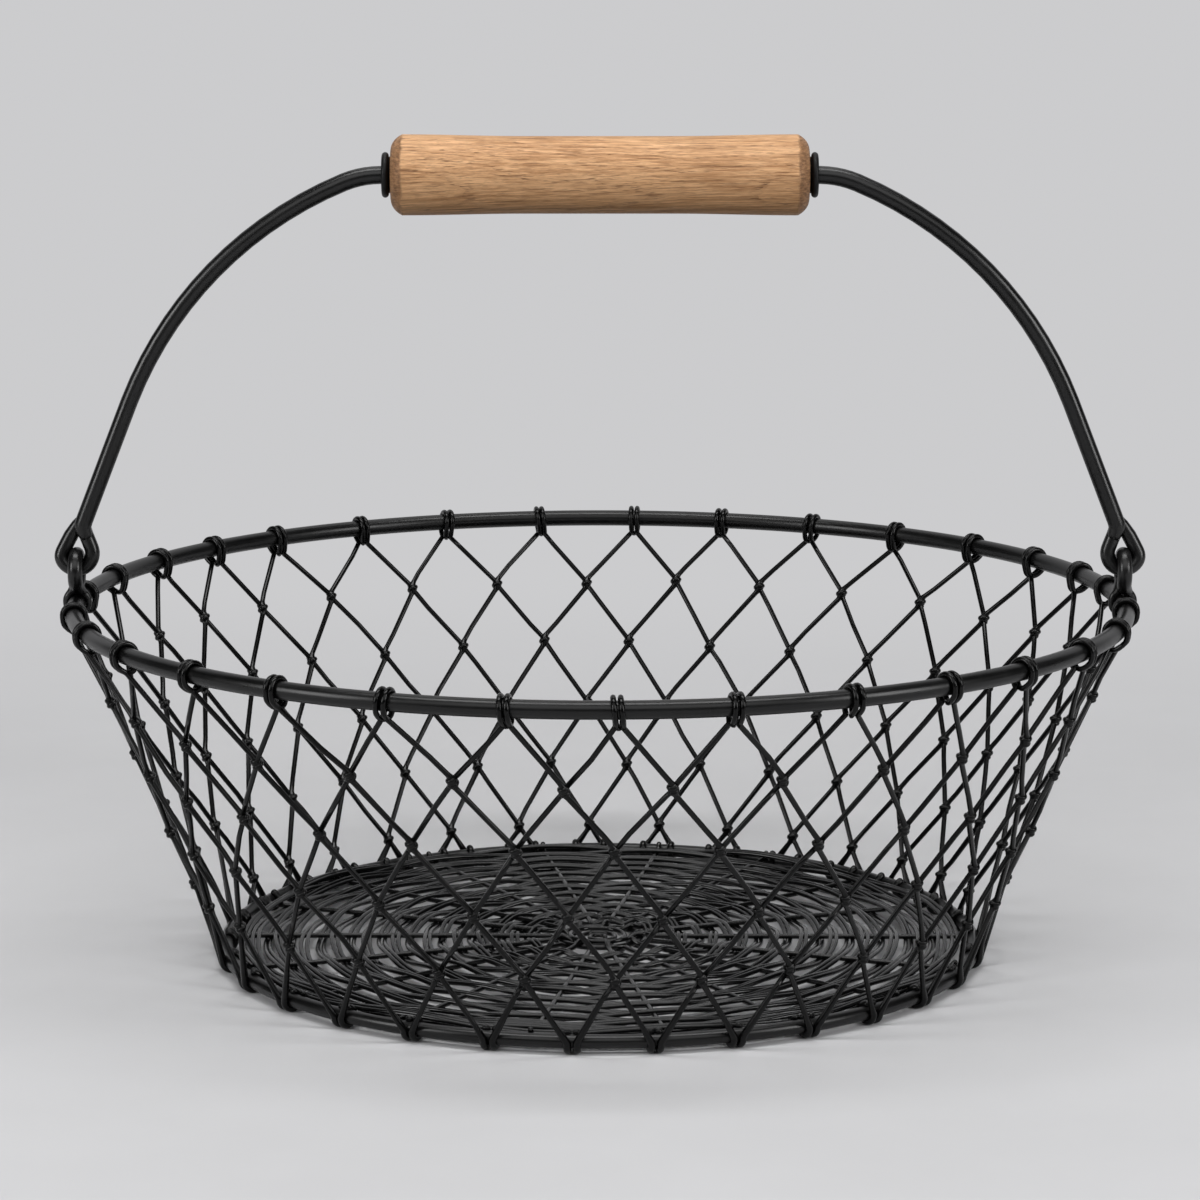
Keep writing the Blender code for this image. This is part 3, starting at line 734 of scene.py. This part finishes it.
def wall_axes(angle):
    """Along the wall to the right, out of it, and down it."""
    across = np.array((cos(angle), sin(angle), 0.0))
    out = around(angle, cos(WALL_SLOPE), -sin(WALL_SLOPE))
    return across, out, np.cross(across, out)


def loop_points(angle):
    """Two turns over the rim, bridged under it, that the legs leave at both ends of the bridge."""
    lean, sag, gap = np.clip(rng.normal(0, 1, 3), -1.5, 1.5) * LOOP_HAND
    drop = LOOP_DROP * (1 + LOOP_SAG_SHARE * sag)
    half = LOOP_PITCH / 2 * (1 + LOOP_PITCH_SHARE * gap)
    points = []
    for share in shares(LOOP_POINTS):
        turn = LOOP_START + (LOOP_END - LOOP_START) * share
        low = min(0.0, sin(turn))
        rise = sin(turn) * LOOP_RADIUS if low == 0 else low * drop
        below = max(0.0, -rise - RIM_WIRE / 2)
        out = cos(turn) * LOOP_RADIUS - below * tan(WALL_SLOPE)
        along = half * tanh((-pi / 2 - turn) / LOOP_BRIDGE) + lean * rise / LOOP_DROP
        points.append(beside_ring(angle, RIM_RADIUS, RIM_Z, out, rise, along))
    return points


def knotted(rows, row, index):
    """Whether an entry is a knot, and not a pair of wraps on the base ring."""
    return row <= KNOT_ROWS or back_share(placed(rows, row, index)[0]) == 1


def parting(rows, index):
    """Angle that a leg at the back runs aside between its last knot and the base ring."""
    half_step = placed(rows, KNOT_ROWS + 2, index)[0] - placed(rows, KNOT_ROWS + 1, index)[0]
    return half_step * LAST_KNOT_RISE / BACK_ROW_PITCH


def core_points(place):
    """Straight leg through a knot, down the knot's middle."""
    centre = on_wall(place, KNOT_LAYER)
    across, _, down = wall_axes(place[0])
    return [centre + down * drop + across * aside for drop, aside in CORE_STEPS]


def knot_points(place):
    """One turn and a half of the other leg round a knot's middle: a ball of close turns."""
    centre = on_wall(place, KNOT_LAYER)
    across, out, down = wall_axes(place[0])
    start = rng.normal(0, KNOT_START_HAND)
    points = []
    for share in shares(KNOT_POINTS):
        turn = 3 * pi * share + start * sin(pi * share)
        belly = sin(pi * share) ** KNOT_FULLNESS
        radius = KNOT_NECK + (KNOT_BELLY - KNOT_NECK) * belly
        spoke = across * cos(turn) + out * sin(turn)
        points.append(centre + spoke * radius + down * KNOT_HEIGHT * (share - 0.5))
    return points


def bowed(start, end):
    """A few points of a leg between two knots, a little off its straight line."""
    aside = rng.normal(0, LEG_BOW, 3)
    places = shares(4)[1:-1]
    return [start + (end - start) * share + aside * sin(pi * share) for share in places]


def run_together(stretches):
    """One path through the stretches, with slightly bowed legs between them."""
    path = list(stretches[0])
    for stretch in stretches[1:]:
        path += bowed(path[-1], stretch[0]) + list(stretch)
    return path


def wrap_points(angle, side):
    """Turn round the base ring: down its outer side, under it and up inside, ending on top.

    The side is -1 or 1 for the left or right one of a pair, and 0 for a single turn.
    """
    hand = np.clip(rng.normal(0, WRAP_END_HAND), -2 * WRAP_END_HAND, 2 * WRAP_END_HAND)
    ending = WRAP_END + hand
    slant = rng.normal(0, WRAP_SLANT_HAND)
    points = []
    for share in shares(WRAP_POINTS):
        turn = WRAP_START + (ending - WRAP_START) * share
        drift = side * WRAP_PITCH / 2 + slant * share
        out, up = WRAP_RADIUS * cos(turn), WRAP_RADIUS * sin(turn)
        points.append(beside_ring(angle, BASE_RADIUS, BASE_Z, out, up, drift))
    return points


def leg(rows, index, side):
    """Stretches of a leg of a wire: down through its knots, and round the base ring.

    The right leg, side -1, runs straight through the knots. The left leg takes their turns.
    """
    make_knot = core_points if side < 0 else knot_points
    entries = [(row, index - row if side > 0 else index) for row in range(1, KNOT_ROWS + 2)]
    stretches = [make_knot(placed(rows, row, entry)) for row, entry in entries[:-1]]
    row, entry = entries[-1]
    angle = placed(rows, row, entry)[0]
    if knotted(rows, row, entry):
        last = wrap_points(angle - side * parting(rows, entry), 0)
        return stretches + [make_knot(placed(rows, row, entry)), last]
    return stretches + [wrap_points(angle, side)]


def wrap_places(rows):
    """(angle, half width) of the wraps on the base ring: pairs in front, single ones behind."""
    places = []
    for index in range(LOOPS):
        angle = placed(rows, KNOT_ROWS + 1, index)[0]
        if knotted(rows, KNOT_ROWS + 1, index):
            places += [(angle - parting(rows, index), 0), (angle + parting(rows, index), 0)]
        else:
            places.append((angle, WRAP_PITCH / 2))
    return places


def build_net(finish):
    """Each wall wire, thicker where it runs through a knot and where it loops and wraps."""
    rows = knot_rows()
    for index in range(LOOPS):
        left = [stretch[::-1] for stretch in leg(rows, index, 1)[::-1]]
        path = run_together(left + [loop_points(rows[0][index][0])] + leg(rows, index, -1))
        cores = [on_wall(placed(rows, row, index), KNOT_LAYER)
                 for row in range(1, KNOT_ROWS + 2) if knotted(rows, row, index)]
        path = thinned(eased(path, NET_EASE), near=cores)
        apart = np.min([np.linalg.norm(path - core, axis=1) for core in cores], axis=0)
        widths = NET_WIRE + (KNOT_CORE - NET_WIRE) * np.exp(-(apart / KNOT_REACH) ** 2)
        loop = np.linalg.norm(path - around(rows[0][index][0], RIM_RADIUS, RIM_Z), axis=1)
        widths += (LOOP_WIRE - NET_WIRE) * np.clip(1 + LOOP_REACH - loop, 0, 1)
        radii = np.hypot(path[:, 0], path[:, 1])
        wrap = np.hypot(radii - BASE_RADIUS, path[:, 2] - BASE_Z)
        widths += (WRAP_WIRE - NET_WIRE) * np.clip(1 + (WRAP_REACH - wrap) / WRAP_TAPER, 0, 1)
        strand = tube(f"wall_strand_{index + 1:02d}", path, widths, NET_SIDES)
        dress(strand, "basket", f"net_wire_{index + 1:02d}", finish)
    return wrap_places(rows)


# Floor

def arm_angles(wraps):
    """Even angles, each moved aside where its hook would sit on a wrap of the net."""
    beside = WRAP_WIRE / 2 + ARM_WIRE / 2 + HOOK_GAP
    angles = []
    for index in range(ARMS):
        angle = pi / 2 + 2 * pi * index / ARMS
        pushes = []
        for wrap, half in wraps:
            gap = remainder(angle - wrap, 2 * pi)
            pushes.append(copysign(max(0, (half + beside) / BASE_RADIUS - abs(gap)), gap))
        angles.append(angle + max(pushes, key=abs))
    return angles


def arm_hook(angle):
    """End of an arm: up against the inner side of the base ring."""
    radius = BASE_WIRE / 2 + ARM_WIRE / 2 + HOOK_TOUCH
    points = [around(angle, BASE_RADIUS - radius - HOOK_REACH, BASE_Z + ARM_LIFT)]
    for turn in arc(165, 119, -15):
        out = BASE_RADIUS + radius * cos(turn)
        points.append(around(angle, out, BASE_Z + radius * sin(turn)))
    return points


def spoke_points(first, second):
    """Hairpin: an arm in over the hub, round inside it, and an arm out under it."""
    rise = HUB_WIRE / 2 + ARM_WIRE / 2 + HAIRPIN_GAP
    middle = (first + second) / 2
    bend = [
        around(first, HUB_RADIUS + HUB_REACH, BASE_Z + ARM_LIFT),
        around(first, HUB_RADIUS, BASE_Z + rise),
        around(middle, HUB_RADIUS - HUB_REACH, BASE_Z),
        around(second, HUB_RADIUS, BASE_Z - rise),
        around(second, HUB_RADIUS + HUB_REACH, BASE_Z + ARM_LIFT),
    ]
    return arm_hook(first)[::-1] + bend + arm_hook(second)


def row_radius(even):
    """Radius of a row from its evenly spaced one: closer rows near the base ring."""
    close = CLOSE_FROM + (even - CLOSE_FROM) * CLOSE_SHARE
    return min(LAST_ROW, even if even < CLOSE_FROM else close)


def woven_pair(angles, start_radius, side):
    """Two strands of a weaver side by side, that wander together and a little apart."""
    last = CLOSE_FROM + (LAST_ROW - CLOSE_FROM) / CLOSE_SHARE + RUN_ON
    steps = int((last - start_radius) * ARMS / (2 * ROW_PITCH)) + 1
    count = (steps - 1) * WEAVE_STEPS + 1
    aside = wander(count, WEAVE_STEPS * ROW_SPACING, ROW_HAND)
    lift = wander(count, WEAVE_STEPS * LIFT_SPACING, LIFT_HAND)
    return [woven_points(angles, start_radius, side, split, aside, lift)
            for split in (-STRAND_SPLIT, STRAND_SPLIT)]


def woven_points(angles, start_radius, side, split, aside, lift):
    """Spiral of a strand over and under the arms in turn, that runs on along the base ring."""
    count = len(aside)
    apart = wander(count, WEAVE_STEPS * STRAND_SPACING, STRAND_HAND)
    rise = wander(count, WEAVE_STEPS * STRAND_SPACING, STRAND_HAND)
    points = []
    for index in range(count):
        step = index / WEAVE_STEPS
        before = int(step)
        share = step - before
        start, end = (angles[arm % ARMS] + arm // ARMS * 2 * pi for arm in (before, before + 1))
        even = row_radius(start_radius + 2 * ROW_PITCH * step / ARMS)
        hand = 1 if even < LAST_ROW else EDGE_HAND_SHARE
        radius = even + split + (aside[index] + apart[index]) * hand
        edge = max(0.0, 1 - (LAST_ROW - even) / CLIMB_REACH)
        height = side * WEAVE_RISE * cos(pi * step) + lift[index] + rise[index]
        turn = start + (end - start) * share
        points.append(around(turn, radius, BASE_Z + height + EDGE_CLIMB * edge ** 2))
    return points


def coil_points(exit_angle):
    """Coil in the middle of the floor, from its centre out and up over the hub."""
    points = []
    for share in shares(COIL_TURNS * COIL_TURN_POINTS):
        back = COIL_TURNS * (1 - share)
        angle = exit_angle - 2 * pi * back
        radius = COIL_START + COIL_PITCH * (COIL_TURNS - back)
        climb = COIL_RISE * min(1.0, max(0.0, COIL_RISE_FROM - back))
        points.append(around(angle, radius, BASE_Z + climb))
    rise = HUB_WIRE / 2 + WEAVER_WIRE / 2 + COIL_GAP
    points.append(around(exit_angle, HUB_RADIUS - HUB_WIRE / 2, BASE_Z + rise))
    points.append(around(exit_angle, HUB_RADIUS + HUB_WIRE / 2, BASE_Z + rise))
    return points


def build_floor(wraps, finish):
    """Hub, nine hairpins for the arms, and two weavers that start a row apart."""
    angles = arm_angles(wraps)
    hub = ring("floor_hub_ring", HUB_RADIUS, HUB_WIRE, BASE_Z, HUB_SEGMENTS, HUB_SIDES)
    dress(hub, "basket", "floor_hub", finish)
    for pair in range(ARMS // 2):
        hairpin = spoke_points(angles[2 * pair], angles[2 * pair + 1])
        path = thinned(eased(hairpin, ARM_EASE))
        arms = tube(f"floor_arms_{pair + 1}", path, ARM_WIRE, FLOOR_SIDES)
        dress(arms, "basket", f"floor_spoke_{pair + 1}", finish)
    between = (angles[0] + angles[-1] - 2 * pi) / 2
    inner = woven_pair(angles, FIRST_ROW, 1)
    outer = woven_pair(angles, FIRST_ROW + ROW_PITCH, -1)
    inner[0] = coil_points(between) + inner[0]
    for letter, pair in (("a", inner), ("b", outer)):
        paths = [thinned(eased(path, WEAVER_EASE, WEAVER_STEP), WEAVER_BEND, WEAVER_LONGEST)
                 for path in pair]
        strands = [tube_shape(path, WEAVER_WIRE, FLOOR_SIDES) for path in paths]
        weaver = joined(f"floor_weave_{letter}", strands)
        dress(weaver, "basket", f"floor_weaver_{letter}", finish)


# Ears

def ear_points():
    """Figure-eight link as (out, along, up, wire): slim eye round the rim, thick upper eye."""
    lower = RIM_WIRE / 2 + EAR_RING_WIRE / 2 + EAR_RING_GAP
    middle = PIVOT_RISE + EYE_WIRE / 2 + SEAT_GAP + EAR_WIRE / 2 - EAR_LOOP_RADIUS
    half = []
    for turn in arc(-87, 62, 8):
        wire = EAR_RING_WIRE + EAR_RING_GROWTH * max(0.0, sin(turn))
        half.append((lower * cos(turn), 0, lower * sin(turn), wire))
    out, along, rise, wire = EAR_TWIST
    half.append((out, along, lower + rise, wire))
    for turn in arc(26, 180, 11):
        along = -EAR_LOOP_RADIUS * sin(turn)
        half.append((0, along, middle - EAR_LOOP_RADIUS * cos(turn), EAR_WIRE))
    other = [(-out, -along, up, wire) for out, along, up, wire in reversed(half)]
    return half + [(0, 0, middle + EAR_LOOP_RADIUS, EAR_WIRE)] + other


def rod_path(points, wires, spread):
    """Rounded path through the points, and the wire's width at each of its points."""
    along = lengths_along(np.array(points))
    path = eased(points, spread, ROD_STEP)
    return path, np.interp(np.linspace(0, 1, len(path)), along / along[-1], wires)


def build_ear(name, node, angle, finish):
    """Link of one ear, where its angle is on the rim."""
    rows = ear_points()
    points = [beside_ring(angle, RIM_RADIUS, RIM_Z, out, up, along) for out, along, up, _ in rows]
    path, widths = rod_path(points, [row[3] for row in rows], EAR_EASE)
    link = tube(name, path, widths, EAR_SIDES)
    dress(link, "basket", node, finish)


# Bail

def bow(reach, drop):
    """Radius of the bow, and the angle of the straight leg that it runs into, down to the neck."""
    along = reach * cos(SHOULDER_ANGLE) + drop * sin(SHOULDER_ANGLE)
    inward = drop * cos(SHOULDER_ANGLE) - reach * sin(SHOULDER_ANGLE)
    radius = (along ** 2 + inward ** 2 - LEG_LENGTH ** 2) / (2 * inward)
    turn = atan2(along, radius - inward) - atan2(LEG_LENGTH, radius)
    return radius, SHOULDER_ANGLE + turn


def bail_half():
    """Right half of the rod from the grip out to its blunt end on the eye, and the leg's angle.

    Each row is (x, y, rise over the rim, wire).
    """
    straight = GRIP_LENGTH / 2 + END_PLAY + COLLAR_THICKNESS + STRAIGHT_SPARE
    rows = [(0, 0, GRIP_RISE, BAIL_WIRE), (straight, 0, GRIP_RISE, BAIL_WIRE)]
    for share in shares(SHOULDER_STEPS)[1:]:
        turn = SHOULDER_ANGLE * share
        x = straight + SHOULDER_RADIUS * sin(turn)
        rows.append((x, 0, GRIP_RISE - SHOULDER_RADIUS * (1 - cos(turn)), BAIL_WIRE))
    x_start, _, z_start, _ = rows[-1]
    neck_x, neck_z = RIM_RADIUS - EYE_NECK_INSET, PIVOT_RISE + EYE_NECK_RISE
    radius, leg_angle = bow(neck_x - x_start, z_start - neck_z)
    for share in shares(BOW_STEPS)[1:]:
        turn = SHOULDER_ANGLE + (leg_angle - SHOULDER_ANGLE) * share
        x = x_start + radius * (sin(turn) - sin(SHOULDER_ANGLE))
        z = z_start - radius * (cos(SHOULDER_ANGLE) - cos(turn))
        rows.append((x, 0, z, BAIL_WIRE + (SHANK_WIRE - BAIL_WIRE) * share))
    rows.append((neck_x, 0, neck_z, SHANK_WIRE))
    for inward, below, wire in SHANK_END:
        rows.append((RIM_RADIUS - inward, 0, neck_z - below, wire))
    return rows, leg_angle


def eye_rows(leg_angle):
    """Eye of the bail: from behind the shank's end, round under the link, and up behind again."""
    centre_z = PIVOT_RISE + EYE_RADIUS
    neck_x, neck_z = RIM_RADIUS - EYE_NECK_INSET, PIVOT_RISE + EYE_NECK_RISE
    down_x, down_z = cos(leg_angle), -sin(leg_angle)
    root_x, root_z = neck_x - down_x * EYE_ROOT, neck_z - down_z * EYE_ROOT
    rows = [(root_x, EYE_BEHIND, root_z, EYE_ROOT_WIRE)]
    for inward, below, behind in EYE_ENTRY:
        rows.append((RIM_RADIUS - inward, EYE_BEHIND * behind, neck_z - below, EYE_WIRE))
    for degrees in range(165, 351, 10):
        turn = radians(degrees)
        lean = EYE_BEHIND * EYE_LEAN_IN * max(0.0, (200 - degrees) / 40)
        lean += EYE_LEAN_OUT * max(0.0, (degrees - 270) / 80)
        x = RIM_RADIUS + EYE_RADIUS * cos(turn)
        rows.append((x, lean, centre_z + EYE_RADIUS * sin(turn), EYE_WIRE))
    for outward, rise, behind in EYE_EXIT:
        rows.append((RIM_RADIUS + outward, behind, rise, EYE_WIRE))
    for share, wire in TAIL_STEPS:
        apart = (SHANK_WIRE + wire) / 2 - TAIL_SINK
        turn = TAIL_TURN + TAIL_TWIST * share
        beside = apart * cos(turn)
        x = neck_x - beside * down_z - TAIL_LENGTH * share * down_x
        z = neck_z + beside * down_x - TAIL_LENGTH * share * down_z
        rows.append((x, min(TAIL_BEHIND, apart * sin(turn)), z, wire))
    return rows


def rod_shape(rows, spread, bend):
    """Round wire through rows of (x, y, rise over the rim, wire)."""
    points = [(x, y, RIM_Z + rise) for x, y, rise, _ in rows]
    path, widths = rod_path(points, [row[3] for row in rows], spread)
    kept = thinned(path, bend, ROD_LONGEST)
    index = [int(np.argmin(np.abs(path - point).sum(1))) for point in kept]
    return tube_shape(kept, widths[index], BAIL_SIDES)


def other_side(rows):
    """The rows on the left of the bail instead of the right."""
    return [(-x, y, rise, wire) for x, y, rise, wire in rows]


def build_bail(finish):
    """Rod of the handle with its two eyes."""
    half, leg_angle = bail_half()
    eye = eye_rows(leg_angle)
    shapes = [rod_shape(other_side(half)[::-1] + half[1:], BOW_EASE, BOW_BEND)]
    shapes += [rod_shape(rows, EYE_EASE, EYE_BEND) for rows in (eye, other_side(eye))]
    dress(joined("bail_rod", shapes), "bail", "bail", finish)


# Grip and collars

def build_grip(finish):
    """Bored grip: a rounded mouth, a face, a crease and a rounded edge at each end, and a waist."""
    bore = BAIL_WIRE / 2 + GRIP_BORE_GAP
    end = GRIP_LENGTH / 2
    shoulder = end - GRIP_ROUND
    half = [(bore + outside, end - below) for outside, below in GRIP_MOUTH]
    half.append((GRIP_FACE_RADIUS - 0.5, end))
    for share in shares(GRIP_ROUND_STEPS):
        turn = GRIP_CREASE + (GRIP_EDGE - GRIP_CREASE) * (1 - share) ** GRIP_ROUND_EASE
        radius = (GRIP_END_RADIUS - GRIP_FACE_RADIUS) * cos(turn) / cos(GRIP_CREASE)
        along = (sin(turn) - sin(GRIP_CREASE)) / (1 - sin(GRIP_CREASE))
        half.append((GRIP_FACE_RADIUS + radius, shoulder + GRIP_ROUND * along))
    half.append((GRIP_END_RADIUS, shoulder - 0.15))
    for share in shares(GRIP_WAIST_STEPS)[1:]:
        waist = 0.5 - 0.5 * cos(pi * min(1, share * GRIP_WAIST_START))
        radius = GRIP_END_RADIUS + (GRIP_WAIST_RADIUS - GRIP_END_RADIUS) * waist
        half.append((radius, shoulder * (1 - share)))
    profile = half + [(radius, -along) for radius, along in reversed(half[:-1])]
    grip = lathe("oak_grip", profile, GRIP_SEGMENTS, (0, 0, GRIP_Z))
    dress(grip, "grip", "grip", finish)


def build_collar(name, node, side, finish):
    """Rounded collar with a slimmer step next to the grip."""
    bore, half = BAIL_WIRE / 2 + COLLAR_BORE_GAP, COLLAR_THICKNESS / 2
    profile = [(bore, half), (COLLAR_RADIUS - COLLAR_FACE_INSET, half)]
    for turn in arc(80, -81, -16):
        radius = COLLAR_RADIUS - COLLAR_EDGE + COLLAR_EDGE * cos(turn)
        profile.append((radius, COLLAR_EDGE_SHIFT + COLLAR_EDGE * sin(turn)))
    profile += [(COLLAR_RADIUS - inside, along) for inside, along in COLLAR_STEP]
    profile.append((bore, -half))
    profile = [(radius, side * along) for radius, along in profile]
    if side < 0:
        profile.reverse()
    x = side * (GRIP_LENGTH / 2 + END_PLAY + half)
    collar = lathe(name, profile, COLLAR_SEGMENTS, (x, 0, GRIP_Z))
    dress(collar, "bail", node, finish)


# Stage

def stage_finish():
    """Pale paper, faintly mottled; far behind the basket it is one even tone."""
    nodes = Nodes("studio_paper")
    place = nodes.add("ShaderNodeTexCoord").outputs["Object"]
    mottle = nodes.noise(place, 9, 4.0, 0.6)
    colour = nodes.mixed(nodes.spread(mottle, 0.3, 0.7), *PAPER_MOTTLE)
    path = nodes.add("ShaderNodeLightPath").outputs
    seen = nodes.maths("MAXIMUM", path["Is Camera Ray"], path["Is Glossy Ray"])
    seen = nodes.maths("MAXIMUM", seen, path["Is Transmission Ray"])
    colour = nodes.mixed(seen, PAPER_BOUNCE, colour)
    nodes.shade({"Base Color": colour, "Roughness": 0.9, "Specular IOR Level": 0.1})
    glow = nodes.add("ShaderNodeEmission", {"Color": BACKDROP, "Strength": 1.0})
    depth = nodes.add("ShaderNodeSeparateXYZ", {"Vector": place}).outputs["Y"]
    reach = {"Value": depth, "From Min": FADE_FROM, "From Max": FADE_TO}
    far = nodes.add("ShaderNodeMapRange", reach, interpolation_type="SMOOTHSTEP")
    share = nodes.times(far.outputs["Result"], seen)
    parts = {0: share, 1: nodes.shader.outputs[0], 2: glow.outputs[0]}
    both = nodes.add("ShaderNodeMixShader", parts)
    output = nodes.tree.nodes["Material Output"]
    nodes.feed(output.inputs["Surface"], both.outputs[0])
    return nodes.material


def build_stage():
    """Floor that curves up into a backdrop."""
    radius = PAPER_BEND_RADIUS
    profile = [(PAPER_FRONT, 0.0), (PAPER_BEND_Y, 0.0)]
    for turn in arc(-84, 1, 6):
        profile.append((PAPER_BEND_Y + radius * cos(turn), radius + radius * sin(turn)))
    profile.append((PAPER_BEND_Y + radius, PAPER_TOP))
    vertices = []
    for y, z in profile:
        vertices += [(-PAPER_HALF_WIDTH, y, z), (PAPER_HALF_WIDTH, y, z)]
    faces = [[2 * i, 2 * i + 1, 2 * i + 3, 2 * i + 2] for i in range(len(profile) - 1)]
    sweep = mesh_object("studio_sweep", vertices, faces)
    sweep.data.materials.append(stage_finish())


def area_light(name, place, aim, size, power):
    """White lamp of a width and height in metres, aimed at a point, with its power in watts."""
    data = bpy.data.lights.new(name, "AREA")
    data.shape = "RECTANGLE"
    data.size, data.size_y = size
    data.energy = power
    lamp = bpy.data.objects.new(name, data)
    lamp.location = place
    lamp.rotation_euler = (Vector(aim) - Vector(place)).to_track_quat("-Z", "Y").to_euler()
    bpy.context.scene.collection.objects.link(lamp)


def build_light():
    """Wide lamp in front, strong narrow one overhead, weak one behind and a strip each side."""
    world = bpy.data.worlds.new("studio")
    world.use_nodes = True
    background = world.node_tree.nodes["Background"]
    background.inputs["Color"].default_value = (1.0, 1.0, 1.0, 1.0)
    background.inputs["Strength"].default_value = WORLD_LIGHT
    bpy.context.scene.world = world
    area_light("front", (0.0, -1.75, 1.65), LAMP_AIM, (2.9, 1.6), 22)
    area_light("top", (0.0, -0.15, 2.4), LAMP_AIM, (2.2, 0.6), 33)
    area_light("back", (0.0, 1.05, 1.95), LAMP_AIM, (1.3, 0.7), 4)
    for side in (-1, 1):
        area_light("strip", (side * 1.23, -0.69, 0.58), STRIP_AIM, (0.46, 0.7), 8)


def build_camera():
    """The photo's camera, fitted to the ellipses of the rim and the base ring."""
    data = bpy.data.cameras.new("photo_view")
    data.sensor_width = 36.0
    data.lens = CAMERA_LENS
    data.clip_start, data.clip_end = 0.05, 30.0
    camera = bpy.data.objects.new("photo_view", data)
    camera.location = CAMERA_PLACE
    camera.rotation_euler = (radians(90 - CAMERA_PITCH), 0.0, 0.0)
    bpy.context.scene.collection.objects.link(camera)
    bpy.context.scene.camera = camera


def build():
    """The whole basket in its finishes, on the studio's paper."""
    ring_black = black_finish("ring_black", smooth=0.25, rough=0.37, shine=0.36)
    net_black = black_finish("net_black", 0.001, 0.003, smooth=0.15, rough=0.26, shine=0.22)
    floor_black = black_finish("floor_black", 0.001, 0.003, smooth=0.12, rough=0.2, shine=0.34)
    ear_black = black_finish("ear_black", smooth=0.25, rough=0.37, shine=0.45)
    bail_black = black_finish("bail_black", smooth=0.24, rough=0.36, shine=0.46)
    collar_black = black_finish("collar_black", smooth=0.42, rough=0.55)
    rim = ring("rim_ring", RIM_RADIUS, RIM_WIRE, RIM_Z, RIM_SEGMENTS, RIM_SIDES)
    dress(rim, "basket", "rim", ring_black)
    foot = ring("foot_ring", BASE_RADIUS, BASE_WIRE, BASE_Z, BASE_SEGMENTS, BASE_SIDES)
    dress(foot, "basket", "base_ring", ring_black)
    wraps = build_net(net_black)
    build_floor(wraps, floor_black)
    build_ear("ear_link_left", "ear_left", -pi / 2, ear_black)
    build_ear("ear_link_right", "ear_right", pi / 2, ear_black)
    build_bail(bail_black)
    build_collar("collar_left", "washer_left", -1, collar_black)
    build_collar("collar_right", "washer_right", 1, collar_black)
    build_grip(oak_finish("oiled_oak"))
    build_stage()
    build_light()
    build_camera()


build()
bpy.context.scene.view_settings.view_transform = "Standard"
